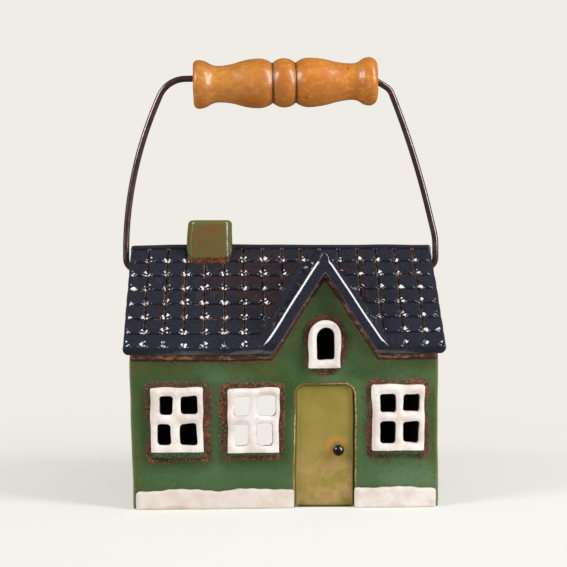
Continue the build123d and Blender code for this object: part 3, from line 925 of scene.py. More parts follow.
def roof_mesh():
    base, out, along, share = roof_section()
    stations, drawn = roof_stations()
    flip = np.array([1, -1, 1])
    front_count = len(along)
    base = np.concatenate([base, (base * flip)[-2::-1]])
    out = np.concatenate([out, (out * flip)[-2::-1]])
    along = np.concatenate([along, along[-2::-1]])
    share = np.concatenate([share, share[-2::-1]])
    count = len(along)
    x, u = np.meshgrid(stations, along, indexing="ij")
    height, groove, ledge = tile_relief(x, u)
    lift, tiled = valley_lift(x, u)
    is_front = np.arange(count) < front_count
    tiled = np.where(is_front, tiled, 1) * share
    push = height * tiled - drawn[:, None]
    top = base[None] + push[:, :, None] * out[None]
    top[:, :, 0] = round_corners(x, top[:, :, 2])
    top[:, :, 2] += np.where(is_front, lift * share, 0)
    under = np.repeat(under_section()[None], len(stations), 0)
    at_eave = ease(half_depth - 8 * MM, half_depth, np.abs(under[:, :, 1]))
    reach = roof_half_length - verge_radius - eave_corner * at_eave
    under[:, :, 0] = np.clip(stations[:, None], -reach, reach)
    rings = under_cross_roof(np.concatenate([top, under], 1))
    total = rings.shape[1]
    faces = tube_faces(len(stations), total)
    faces[-2:] = [end[::-1] for end in faces[-2:]]
    mesh = new_mesh("roof", rings.reshape(-1, 3), faces)
    fix_normals(mesh)
    pad = np.zeros((len(stations), total - count))
    set_mask(mesh, "groove", np.concatenate([groove * tiled, pad], 1).ravel())
    set_mask(mesh, "ledge", np.concatenate([ledge * tiled, pad], 1).ravel())
    return mesh


def make_roof(material):
    mesh = roof_mesh()
    points = points_of(mesh)
    under = soffit_ridge - np.abs(points[:, 1]) * math.tan(roof_pitch)
    set_mask(mesh, "edge", 1 - ease(0.2 * MM, 1.4 * MM, points[:, 2] - under))
    set_points(mesh, hand_warp(points))
    return add_piece("tiled_roof", mesh, material, "house", "navy_glaze", "front_roof_slab", "rear_roof_slab")


# Cross roof: one section swept from the left foot over the apex to the right foot

def dormer_chain(inner):
    """Points of the outer face or the soffit, from foot to foot, closer together at the apex."""
    steps = np.linspace(-1, 1, 97)
    spread = np.sign(steps) * np.abs(steps) ** 1.5
    if inner:
        x = dormer_x + spread * dormer_foot_inner
        return np.stack([x, dormer_inner(x)], 1)
    x = dormer_x + spread * (dormer_foot_half + dormer_foot_lap)
    apex_pull = 1 - np.abs(spread)
    x = x - dormer_apex_lean * apex_pull
    return np.stack([x, dormer_outer(x)], 1)


def make_dormer(material):
    edge_turn = np.radians(np.linspace(42, 23, 10))
    edge_radius = 6.2 * MM
    inner_round = 0.8 * MM
    outer = dormer_chain(False)
    soffit = dormer_chain(True)
    rounding = 0.1 + 0.9 * ease(2.6 * MM, 5.4 * MM, dormer_apex_height - outer[:, 1])
    rounding = edge_radius * rounding * (0.25 + 0.75 * ease(0.5 * MM, 3.5 * MM, outer[:, 1] - eave_top))
    along = np.gradient(outer, axis=0)
    along /= np.linalg.norm(along, axis=1)[:, None]
    inward = np.stack([along[:, 1], -along[:, 0]], 1)
    behind = -(ridge_height - outer[:, 1]) / math.tan(roof_pitch) + 2.2 * MM
    behind = np.maximum(behind, dormer_front + 1.6 * MM)
    section = []

    def put(depth, inset, share):
        """One line of the skin: its depth, its inset from the outer face and its share towards the soffit."""
        ground = outer + inward * inset[:, None]
        ground = ground + (soffit - ground) * share
        lean = np.maximum(eave_top - ground[:, 1], 0) * math.tan(roof_pitch)
        section.append(np.stack([ground[:, 0], depth + lean, ground[:, 1]], 1))

    zero = np.zeros(len(outer))
    start = edge_turn[0]
    end = edge_turn[-1]
    edge_depth = rounding * (math.cos(end) - math.cos(start))
    edge_drop = rounding * (math.sin(start) - math.sin(end))
    for part in np.linspace(0, 1, 9):
        put(behind + (dormer_front + edge_depth + 0.4 * MM - behind) * part, zero, 0)
    put(zero + dormer_front + edge_depth + 0.10 * MM, zero + 0.03 * MM, 0)
    for turn in edge_turn:
        put(dormer_front + rounding * (math.cos(end) - math.cos(turn)),
            rounding * (math.sin(start) - math.sin(turn)) + 0.06 * MM, 0)
    for part in np.linspace(0.04, 0.9, 6):
        put(zero + dormer_front, edge_drop + 0.10 * MM, part)
    for angle in np.radians(np.linspace(18, 90, 5)):
        put(zero + dormer_front + inner_round * (1 - math.cos(angle)), edge_drop, 0.9 + 0.1 * math.sin(angle))
    for part in np.linspace(0.15, 1, 5):
        put(dormer_front + inner_round + (behind - dormer_front - inner_round) * part, zero, 1)
    rings = np.stack(section, 1)
    count = rings.shape[1]
    length = rings.shape[0]
    mesh = new_mesh("dormer", rings.reshape(-1, 3), tube_faces(length, count))
    share = np.tile(np.linspace(0, 1, count), length)
    soft = np.zeros(length * count)
    set_mask(mesh, "groove", soft)
    set_mask(mesh, "ledge", soft)
    set_mask(mesh, "edge", 0.75 * ease(0.86, 0.94, share))
    set_mask(mesh, "calm", 1 - ease(0.55, 0.60, share))
    # Painted highlight along the lower inner edge of the barge
    set_mask(mesh, "painted_edge_highlight", 1 - ease(0.02, 0.06, np.abs(share - 0.77)))
    points = points_of(mesh)
    warped = hand_warp(points)
    warped[:, 1] = points[:, 1]
    set_points(mesh, warped)
    fix_normals(mesh)
    return add_piece("dormer_roof", mesh, material, "house", "navy_glaze",
                     "dormer_left_slab", "dormer_right_slab")


def fix_normals(mesh):
    bm = bmesh.new()
    bm.from_mesh(mesh)
    bmesh.ops.recalc_face_normals(bm, faces=bm.faces)
    bm.to_mesh(mesh)
    bm.free()


# Walls: one green glazed skin over the four wall slabs

def front_wall_solid():
    top = wall_height + 4 * MM
    slope = (dormer_soffit - eave_bottom) / dormer_foot_inner
    rise = dormer_soffit + 2 * MM
    half = (rise - top) / slope
    outline = [
        (-half_length, 0), (half_length, 0), (half_length, top), (dormer_x + half, top),
        (dormer_x, rise), (dormer_x - half, top), (-half_length, top),
    ]
    door = rounded_box(*door_box, door_corner, 0)
    door[0] = (door_box[1], 0.5 * MM)
    door[-1] = (door_box[0], 0.5 * MM)
    return flat_solid([outline, door] + pane_outlines(), -half_depth, wall_back)


def frame_distance(points):
    """Distance in X and Z to the nearest window frame."""
    gaps = []
    for item in windows + [arch_window]:
        left, right, low, high = item["box"]
        corner = (right - left) / 2.2 if item is arch_window else frame_corner
        gaps.append(box_distance(points, (left, right, low - item["sill_drop"], high), corner))
    return np.min(gaps, axis=0)


def make_walls(material):
    gables = joined([node_mesh("left_gable_wall"), node_mesh("right_gable_wall")])
    lap = 1 + 1.5 * MM / wall_back
    gables.transform(Matrix.Diagonal((1, abs(lap), 1, 1)))
    mesh = softened(joined([front_wall_solid(), node_mesh("back_wall"), gables]), 0.9 * MM, 3)
    points = points_of(mesh)
    x, y, z = points.T
    outward = normals_of(mesh)
    at_front = ease(-0.2, -0.6, outward[:, 1]) * (y < -half_depth + 1.5 * MM)
    at_back = ease(0.2, 0.6, outward[:, 1]) * (y > half_depth - 1.5 * MM)
    halo = frame_distance(points)
    in_gable = np.abs(x - dormer_x) < dormer_foot_inner
    below_barge = (dormer_inner(x) - z) * 0.55
    below_eave = np.where(in_gable & (y < 0), below_barge, eave_bottom - z)
    below_verge = (soffit_ridge - np.abs(y) * math.tan(roof_pitch) - z) * math.cos(roof_pitch)
    joint = np.where(np.abs(outward[:, 0]) > 0.5, below_verge, below_eave)
    opening = box_distance(points, opening_box, opening_corner)
    door_gap = np.abs(box_distance(points, door_box, door_corner))
    uneven = np.clip(0.78 + 0.42 * wobble(points, 19 * MM, 35), 0.15, 1.15)
    pier = (windows[0]["box"][1] + windows[1]["box"][0]) / 2
    reach = MM * (1 + 0.55 * (1 - ease(4 * MM, 9 * MM, np.abs(x - pier))))
    crust = at_front * uneven * (1 - ease(1.2 * reach, 3.7 * reach, halo))
    line = np.where(in_gable & (y < 0), 2.6 * MM, 3.4 * MM)
    crust = np.maximum(crust, (0.7 + 0.3 * uneven) * (1 - ease(0.45 * line, 1.1 * line, joint)))
    crust = np.maximum(crust, 0.9 * at_back * (1 - ease(0.3 * MM, 2.0 * MM, np.abs(opening))))
    rim = at_front * (1 - ease(0.25 * MM, 1.0 * MM, door_gap)) * (z > 1 * MM)
    inside = (np.abs(x) < half_length - 1.3 * MM) & (np.abs(y) < half_depth - 1.4 * MM)
    corner = np.minimum(half_length - np.abs(x), 9 * MM) + np.minimum(half_depth - np.abs(y), 9 * MM)
    stain = np.maximum(1 - ease(2 * MM, 9 * MM, halo), 1 - ease(0, 14 * MM, joint))
    stain = stain * np.maximum(at_front, 0.6)
    stain = np.maximum(stain, 0.8 * (1 - ease(0.5 * MM, 5 * MM, corner)))
    seam = (1 - ease(1.2 * line, 1.6 * line, joint)) * (y < 0)
    # Painted highlight along the front vertical edges of the walls, below their top
    painted_edge_highlight = (1 - ease(0.1 * MM, 0.9 * MM, half_length - np.abs(x))) * (y < -half_depth + 2 * MM)
    set_mask(mesh, "seam", seam)
    set_mask(mesh, "seam_place", joint / line)
    set_mask(mesh, "painted_edge_highlight", painted_edge_highlight * ease(wall_height, 0.9 * wall_height, z))
    set_mask(mesh, "crust", crust * (1 - inside))
    set_mask(mesh, "rim", rim)
    set_mask(mesh, "inside", inside.astype(float))
    olive = (1 - ease(2 * MM, 16 * MM, joint)) * np.where(in_gable, 0.45, np.where(x > dormer_x, 0.5, 1))
    set_mask(mesh, "olive", np.maximum(olive, 1 - ease(0, 7 * MM, corner)))
    set_mask(mesh, "stain", stain * (1 - inside))
    # Painted shade: darker green beside the frames at the height of the panes, on the left half of the front
    # wall
    head = windows[0]["box"][3]
    at_panes = ease(13 * MM, 18 * MM, z) * (1 - ease(head, head + 4 * MM, z))
    shade_beside_frames = (1 - ease(1 * MM, 10 * MM, halo)) * at_panes
    set_mask(mesh, "deep", at_front * shade_beside_frames * (x < dormer_x))
    # Painted light: lighter green towards the lower right of the front wall, and a lighter patch over the
    # door
    painted_light_right = ease(36 * MM, 50 * MM, x) * (1 - ease(12 * MM, 24 * MM, z))
    over_door = 1 - ease(3 * MM, 14 * MM, np.hypot(x - dormer_x, z - door_box[3] - 5 * MM))
    set_mask(mesh, "painted_light_right", at_front * np.maximum(painted_light_right, 0.5 * over_door))
    rough = np.maximum(crust, 0.5 * rim) * (1 - inside)
    lift = np.zeros(len(points))
    picked = rough > 0.2
    lift[picked] = rough[picked] * (0.10 + 0.22 * grain(points[picked], 1.3 * MM)) * MM
    points = points + outward * lift[:, None]
    points[:, 2] = np.maximum(points[:, 2], 0)
    set_points(mesh, hand_warp(points))
    return add_piece("glazed_walls", mesh, material, "house", "green_glaze",
                     "front_wall", "back_wall", "left_gable_wall", "right_gable_wall")


# Raised frames, door, knob, plinth strips and chimney

def make_frame(item, outline, panes, material):
    """Pillowy white frame with green sides, on the face of the wall."""
    solid = flat_solid([outline] + panes, item["front"], -half_depth + 0.6 * MM)
    mesh = softened(solid, 0.36 * MM, 4)
    points = points_of(mesh)
    left, right, low, high = item["box"]
    to_edge = -box_distance(points, (left, right, low - item["sill_drop"], high), frame_corner)
    for pane in item["panes"]:
        to_edge = np.minimum(to_edge, box_distance(points, pane, pane_corner))
    proud = (-half_depth - points[:, 1]) / (-half_depth - item["front"])
    points[:, 1] -= 0.45 * MM * ease(0.2 * MM, 1.9 * MM, to_edge) * ease(0.4, 0.9, proud)
    points[:, 1] -= 0.16 * MM * wobble(points, 9 * MM, 31) * ease(0.4, 0.9, proud)
    points[:, 0] += 0.22 * MM * wobble(points, 11 * MM, 32)
    points[:, 2] += 0.22 * MM * wobble(points, 11 * MM, 33)
    sill = ease(-0.25 * MM, 0.5 * MM, points[:, 2] - low)
    outline_gap = -box_distance(points, item["box"], frame_corner)
    face = ease(0.30, 0.62, proud) * sill
    set_mask(mesh, "face", np.where(outline_gap > 1.8 * MM, np.maximum(face, ease(0.0, 0.3, proud)), face))
    set_mask(mesh, "edge", 0.9 * (1 - ease(0.10, 0.22, np.abs(proud - 0.42))) * (outline_gap < 1.5 * MM))
    set_points(mesh, hand_warp(points))
    return add_piece(item["node"] + "_glazed", mesh, material, "house", "white_glaze", item["node"])


def make_frames(material):
    for item in windows:
        left, right, low, high = item["box"]
        outline = rounded_box(left, right, low - item["sill_drop"], high, frame_corner)
        make_frame(item, outline, [rounded_box(*pane, pane_corner) for pane in item["panes"]], material)
    left, right, low, high = arch_window["box"]
    outline = arched(left, right, low - arch_window["sill_drop"], high, frame_corner)
    make_frame(arch_window, outline, [arched(*arch_window["panes"][0], pane_corner)], material)


def make_plinths(material):
    """Strips with blunt rounded ends and an uneven crest."""
    end_round = 2.6 * MM
    # The third value is painted shade: more on the left plinth than on the right
    for node, stretch, dull_and_painted_shade in (("left_plinth", 1.0, 0.5), ("right_plinth", 1.08, 0.2)):
        low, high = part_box(node)
        mesh = softened(node_mesh(node), 0.42 * MM, 4)
        points = points_of(mesh)
        end_gap = np.minimum(points[:, 0] - low.x, high.x - points[:, 0])
        from_full = np.clip(1 - end_gap / end_round, 0, 1)
        blunt = 1 - 0.8 * (1 - np.sqrt(1 - np.minimum(from_full, 0.98) ** 2))
        top = ease(0.3 * high.z, 0.9 * high.z, points[:, 2])
        points[:, 2] *= 1 + (stretch - 1) * top
        points[:, 2] -= 2.4 * MM * (1 - blunt) * top
        level = points * [1, 0, 0]
        crest = 0.30 * wobble(level, 26 * MM, 41) + 0.16 * wobble(level, 6 * MM, 43)
        points[:, 2] += crest * MM * top
        thinned = np.where(points[:, 1] < -half_depth, blunt, 1)
        points[:, 1] = -half_depth + (points[:, 1] + half_depth) * thinned
        points[:, 1] -= 0.16 * MM * wobble(points, 13 * MM, 42) * ease(-half_depth, low.y, points[:, 1])
        points[:, 2] = np.maximum(points[:, 2] - points[:, 2].min() * (1 - top), 0)
        proud = (-half_depth - points[:, 1]) / (-half_depth - low.y)
        set_mask(mesh, "face", ease(0.05, 0.3, proud))
        set_mask(mesh, "dull_and_painted_shade", np.full(len(points), dull_and_painted_shade))
        set_mask(mesh, "edge", 0.7 * (1 - ease(0.12, 0.4, np.abs(proud - 0.2))))
        set_points(mesh, hand_warp(points))
        add_piece(node + "_glazed", mesh, material, "house", "white_glaze", node)


def make_door(material):
    mesh = softened(node_mesh("door_panel"), 0.55 * MM, 3)
    points = points_of(mesh)
    left, right, low, high = door_box
    inside = -box_distance(points, (left, right, low - 20 * MM, high), door_corner)
    fillet = 1.7 * MM
    near = np.clip(1 - inside / fillet, 0, 1)
    rise = fillet * (1 - np.sqrt(1 - np.minimum(near, 0.97) ** 2))
    front = ease(door_low.y + 1.2 * MM, door_low.y + 0.3 * MM, points[:, 1])
    points[:, 1] -= (rise + 0.10 * MM * wobble(points, 15 * MM, 51)) * front
    points[:, 2] = np.maximum(points[:, 2] - points[:, 2].min() * ease(3 * MM, 0, points[:, 2]), 0)
    knob_x = (knob_low.x + knob_high.x) / 2
    knob_z = (knob_low.z + knob_high.z) / 2
    from_knob = np.hypot(points[:, 0] - knob_x, points[:, 2] - knob_z)
    # The rise mask also carries the painted shade on the door's recessed rim
    set_mask(mesh, "rise", near * front)
    set_mask(mesh, "ring", ease(2.6 * MM, 3.4 * MM, from_knob) * (1 - ease(4.0 * MM, 6.5 * MM, from_knob)))
    set_points(mesh, hand_warp(points))
    add_piece("door_glazed", mesh, material, "house", "ochre_glaze", "door_panel")


def make_knob(material):
    mesh = softened(node_mesh("door_knob"), 0.22 * MM, 3)
    points = points_of(mesh)
    points += 0.06 * MM * wobble(points, 4 * MM, 61)[:, None]
    points += np.array([0.4, 0, -0.9]) * MM
    set_points(mesh, hand_warp(points))
    add_piece("door_knob_glazed", mesh, material, "house", "black_glaze", "door_knob")


def make_chimney(material):
    """Block with well rounded corners that spreads a little where it meets the roof."""
    middle = (chimney_low.x + chimney_high.x) / 2
    half_width = (chimney_high.x - chimney_low.x) / 2
    half_thick = (chimney_high.y - chimney_low.y) / 2
    corner = 4.2 * MM
    crown = 1.9 * MM
    levels = [(chimney_low.z, 0.0)]
    levels += [(z, 0.0) for z in np.linspace(chimney_low.z + 1 * MM, chimney_high.z - crown, 22)]
    levels += [(chimney_high.z - crown + crown * math.sin(a), crown * (1 - math.cos(a)))
               for a in np.radians([10, 20, 32, 45, 58, 70, 80, 90])]
    points = []
    for z, inset in levels:
        taper = 0.25 * MM * ease(ridge_top, chimney_high.z, z)
        wide = half_width - inset - taper
        deep = half_thick - inset - taper
        rounding = max(corner - inset, 1 * MM)
        for x_side, y_side, start in ((1, -1, -90), (1, 1, 0), (-1, 1, 90), (-1, -1, 180)):
            centre = (middle + x_side * (wide - rounding), y_side * (deep - rounding))
            points += [(x, y, z) for x, y in arc_points(centre, rounding, start, start + 90, 12)]
    mesh = new_mesh("chimney", points, tube_faces(len(levels), len(points) // len(levels)))
    fix_normals(mesh)
    points = points_of(mesh)
    x, y, z = points.T
    to_side = half_width - np.abs(x - middle)
    roof_line = np.minimum(ridge_height - np.abs(y) * math.tan(roof_pitch), ridge_top)
    set_mask(mesh, "edge", np.maximum(1 - ease(0.5 * MM, 4.5 * MM, to_side),
                                      ease(chimney_high.z - 4 * MM, chimney_high.z, z)))
    set_mask(mesh, "foot", 1 - ease(0.3 * MM, 2.4 * MM, z - roof_line))
    points += normals_of(mesh) * (0.13 * MM * wobble(points, 16 * MM, 71))[:, None]
    set_points(mesh, hand_warp(points))
    add_piece("chimney_glazed", mesh, material, "house", "brown_glaze", "chimney")


def make_floor_slab(material):
    mesh = softened(node_mesh("base_slab"), 2.0 * MM, 2)
    points = points_of(mesh)
    points[:, 2] += 0.12 * MM * wobble(points, 14 * MM, 81) * ease(2 * MM, 4 * MM, points[:, 2])
    points[:, 2] = np.maximum(points[:, 2], 0)
    for name, value in (("crust", 0.0), ("rim", 0.0), ("inside", 1.0), ("olive", 0.0), ("stain", 0.0)):
        set_mask(mesh, name, np.full(len(points), value))
    set_points(mesh, points)
    add_piece("floor_slab", mesh, material, "house", "green_glaze", "base_slab")


# Bail wire: the bent route of the solid, and a round section swept along it
hinge_height = frame["joints"][0]["pos_m"][2]
leg_x = wire_high.x - wire_radius
bail_tilt = math.radians(1.05)
bail_rise = 91.3 * MM
hook_radius = 5.0 * MM
hook_end = half_length - wall_thickness - 3.0 * MM
leg_bow_share = 0.85


def bail_corners():
    """Corners of the wire in X and Z, with the radius of each bend."""
    def on_grip_line(x):
        return (x, hinge_height + bail_rise + x * math.tan(bail_tilt))

    left_hook = (-leg_x, hinge_height)
    left_bow = (-leg_x, hinge_height + 43.5 * MM)
    left_shoulder = on_grip_line(-54.2 * MM)
    grip_bend = on_grip_line(41.3 * MM)
    right_shoulder = (52.2 * MM, hinge_height + 85.5 * MM)
    right_bow = (63.9 * MM, hinge_height + 55.8 * MM)
    right_knee = (leg_x, hinge_height + 14.5 * MM)
    right_hook = (leg_x, hinge_height)
    corners = [
        (-hook_end, hinge_height), left_hook, left_bow, left_shoulder, grip_bend,
        right_shoulder, right_bow, right_knee, right_hook, (hook_end, hinge_height),
    ]
    radii = [
        hook_radius, bow_radius(left_hook, left_bow, left_shoulder), 13.6 * MM, 6.0 * MM,
        7.0 * MM, bow_radius(right_shoulder, right_bow, right_knee), 30.0 * MM, hook_radius,
    ]
    return corners, radii


def bow_radius(before, corner, after):
    """Radius of a bow that takes up a share of the shorter of the two runs at a corner."""
    run_in = Vector(corner) - Vector(before)
    run_out = Vector(after) - Vector(corner)
    return leg_bow_share * min(run_in.length, run_out.length) / math.tan(run_in.angle(run_out) / 2)


def rounded_route(corners, radii, step):
    """Points along straight runs and tangent arcs."""
    points = [np.array(corners[0])]
    for before, corner, after, radius in zip(corners, corners[1:], corners[2:], radii):
        corner = np.array(corner)
        run_in = (corner - before) / np.linalg.norm(corner - before)
        run_out = (after - corner) / np.linalg.norm(after - corner)
        turn = math.acos(np.clip(run_in @ run_out, -1, 1))
        start = corner - run_in * radius * math.tan(turn / 2)
        side = run_out - run_in * (run_in @ run_out)
        side /= np.linalg.norm(side)
        reach = np.linalg.norm(start - points[-1])
        pieces = max(1, int(reach / (4 * step)))
        points += [points[-1] + (start - points[-1]) * (k + 1) / pieces for k in range(pieces)]
        bends = max(4, int(radius * turn / step))
        for k in range(1, bends + 1):
            angle = turn * k / bends
            points.append(start + radius * (run_in * math.sin(angle) + side * (1 - math.cos(angle))))
    points.append(np.array(corners[-1]))
    return np.array(points)


def make_wire(material):
    sides = 28
    route = rounded_route(*bail_corners(), 1.2 * MM)
    ahead = np.gradient(route, axis=0)
    ahead /= np.linalg.norm(ahead, axis=1)[:, None]
    angles = np.arange(sides) * math.tau / sides
    rings = []
    for (x, z), (along_x, along_z) in zip(route, ahead):
        across = np.array([along_z, 0, -along_x])
        depth = np.array([0, 1, 0])
        ring = np.outer(np.cos(angles), across) + np.outer(np.sin(angles), depth)
        rings.append(np.array([x, 0, z]) + wire_radius * ring)
    mesh = new_mesh("wire", np.concatenate(rings), tube_faces(len(route), sides))
    fix_normals(mesh)
    add_piece("bail_wire_bent", mesh, material, "bail", "brown_wire", "bail_wire")


# Turned grip: arcs between level points, as on the solid
grip_half = 43.8 * MM
grip_groove = (5.5 * MM, 9.4 * MM)
grip_belly = (12.0 * MM, 11.7 * MM)
grip_neck = (31.8 * MM, 8.6 * MM)
grip_flare = (40.2 * MM, 11.45 * MM)
grip_end_radius = 9.0 * MM
grip_left_flare = (41.4 * MM, 11.45 * MM)
grip_left_end_radius = 9.7 * MM
grip_bore_radius = 4.6 * MM


def level_arc(level, other, steps):
    """Points of an arc that is level at its first point and ends at another."""
    run = other[0] - level[0]
    drop = level[1] - other[1]
    radius = (run * run + drop * drop) / (2 * drop)
    along = np.linspace(0, run, steps)
    fall = radius - np.sign(radius) * np.sqrt(radius * radius - along * along)
    return [(level[0] + a, level[1] - f) for a, f in zip(along, fall)]


def reverse_curve(start, end, steps):
    """Two equal arcs, each level at its own end, that meet halfway."""
    halfway = ((start[0] + end[0]) / 2, (start[1] + end[1]) / 2)
    return level_arc(start, halfway, steps) + level_arc(end, halfway, steps)[-2::-1]


def grip_half_profile(flare, end_radius):
    half = level_arc((0, 11.65 * MM), grip_groove, 12)
    half += level_arc(grip_belly, grip_groove, 12)[-2::-1]
    half += reverse_curve(grip_belly, grip_neck, 14)[1:]
    half += reverse_curve(grip_neck, flare, 10)[1:]
    half += level_arc(flare, (grip_half, end_radius), 9)[1:]
    half += [(grip_half, r) for r in np.linspace(end_radius, grip_bore_radius, 5)[1:]]
    return half


def grip_profile():
    """The right half, the bore, and the left half, whose end is turned a little sharper."""
    bore = [(a, grip_bore_radius) for a in np.linspace(grip_half, -grip_half, 9)[1:-1]]
    left = grip_half_profile(grip_left_flare, grip_left_end_radius)
    mirrored = [(-a, r) for a, r in left[:0:-1]]
    return grip_half_profile(grip_flare, grip_end_radius) + bore + mirrored


def make_grip(material):
    spin = frame["joints"][1]
    mesh = lathe(grip_profile(), spin["pos_m"], spin["axis"], 96)
    fix_normals(mesh)
    points = points_of(mesh)
    axis = np.array(spin["axis"])
    along = (points - np.array(spin["pos_m"])) @ axis
    radius = np.linalg.norm(points - np.array(spin["pos_m"]) - along[:, None] * axis, axis=1)
    in_groove = 1 - ease(0.25 * MM, 0.75 * MM, np.abs(np.abs(along) - grip_groove[0]))
    in_bore = radius < grip_bore_radius + 0.4 * MM
    set_mask(mesh, "hollow", np.maximum(in_groove, in_bore))
    set_mask(mesh, "tone", 1 - ease(-8 * MM, 14 * MM, along))
    points[:, 0] -= 0.8 * MM * (1 - ease(8 * MM, 36 * MM, np.abs(along)))
    points[:, 0] -= 0.5 * MM * ease(20 * MM, 43 * MM, along)
    points += normals_of(mesh) * (0.05 * MM * wobble(points, 12 * MM, 91))[:, None]
    set_points(mesh, np.clip(points, np.array(cad_box[0]), np.array(cad_box[1])))
    add_piece("turned_grip", mesh, material, "grip", "varnished_wood", "handle_grip")


# Tealight: fluted cup, wax with a shallow dish, and a plaited wick

def make_tealight(foil, wax, cotton, tin):
    centre = ((cup_low.x + cup_high.x) / 2, (cup_low.y + cup_high.y) / 2, 0)
    radius = (cup_high.x - cup_low.x) / 2
    wall = 0.45 * MM
    lip = 0.35 * MM
    outside = [(cup_low.z, radius - 1.6 * MM), (cup_low.z, radius - 0.8 * MM)]
    outside += [(cup_low.z + 0.4 * MM, radius - 0.3 * MM)]
    outside += [(z, radius - 0.2 * MM) for z in np.linspace(cup_low.z + 1 * MM, cup_high.z - 1 * MM, 8)]
    rim = [(cup_high.z - lip, radius), (cup_high.z, radius - lip), (cup_high.z - lip, radius - 2 * lip)]
    inner = [(z, radius - wall - 0.2 * MM) for z in np.linspace(cup_high.z - 1 * MM, cup_low.z + 1 * MM, 6)]
    floor = [(cup_low.z + wall, radius - 1.4 * MM), (cup_low.z + wall, 2 * MM), (cup_low.z, 2 * MM)]
    mesh = lathe(outside + rim + inner + floor, centre, (0, 0, 1), 160)
    fix_normals(mesh)
    points = points_of(mesh)
    x, y, z = points.T
    angle = np.arctan2(y - centre[1], x - centre[0])
    upright = ease(cup_low.z + 0.8 * MM, cup_low.z + 2 * MM, z)
    upright = upright * (1 - ease(cup_high.z - 2.5 * MM, cup_high.z - 1.2 * MM, z))
    inset = 1 - 0.10 * MM / radius * upright * (1 + np.cos(40 * angle))
    points[:, 0] = centre[0] + (x - centre[0]) * inset
    points[:, 1] = centre[1] + (y - centre[1]) * inset
    set_points(mesh, points)
    add_piece("tealight_cup_fluted", mesh, foil, "tealight", "cup_foil", "tealight_cup")
    wax_radius = radius - wall - 0.55 * MM
    top = wax_high.z - 0.4 * MM
    dish = [(top + 0.35 * MM * (r / wax_radius) ** 6 - 0.25 * MM * math.exp(-(r / (4 * MM)) ** 2), r)
            for r in np.linspace(wax_radius, 0.9 * MM, 16)]
    body = [(wax_low.z, 0.9 * MM), (wax_low.z, wax_radius - 0.5 * MM), (wax_low.z + 0.5 * MM, wax_radius)]
    mesh = lathe(body + dish, centre, (0, 0, 1), 96)
    fix_normals(mesh)
    points = points_of(mesh)
    points[:, 2] += 0.05 * MM * wobble(points, 7 * MM, 95) * ease(top - 2 * MM, top - 1 * MM, points[:, 2])
    set_points(mesh, points)
    add_piece("tealight_wax_poured", mesh, wax, "tealight", "candle_wax", "tealight_wax")
    add_wick(centre, cotton)
    foot = frame["nodes"]["wick_sustainer"]
    foot.data.materials.clear()
    foot.data.materials.append(tin)


def add_wick(centre, cotton):
    """Three strands that wind round each other, stiff with wax and leaning a little at the tip."""
    strands = 3
    sides = 10
    reach = 0.33 * MM
    thickness = 0.40 * MM
    heights = np.linspace(wick_low.z, wick_high.z - 0.3 * MM, 70)
    points = []
    faces = []
    for strand in range(strands):
        start = len(points)
        for z in heights:
            turn = math.tau * (z / (5 * MM) + strand / strands)
            lean = 0.25 * MM * ease(wax_high.z, wick_high.z, z)
            hub = (centre[0] + reach * math.cos(turn) + lean, centre[1] + reach * math.sin(turn))
            for step in range(sides):
                angle = math.tau * step / sides
                points.append((hub[0] + thickness * math.cos(angle), hub[1] + thickness * math.sin(angle), z))
        faces += tube_faces(len(heights), sides, start)
    mesh = new_mesh("wick", points, faces)
    add_piece("tealight_wick_plaited", mesh, cotton, "tealight", "cotton_wick", "tealight_wick")


# Floor, backdrop, lamps and camera
backdrop = srgb(240, 237, 230)
fill_level = 0.30
room_level = 0.12


def seen_rays(tree):
    """1 for rays that show the backdrop: straight from the camera, or on through glass."""
    rays = tree.nodes.new("ShaderNodeLightPath")
    either = tree.nodes.new("ShaderNodeMath")
    either.operation = "MAXIMUM"
    tree.links.new(rays.outputs["Is Camera Ray"], either.inputs[0])
    tree.links.new(rays.outputs["Is Transmission Ray"], either.inputs[1])
    return either.outputs[0]


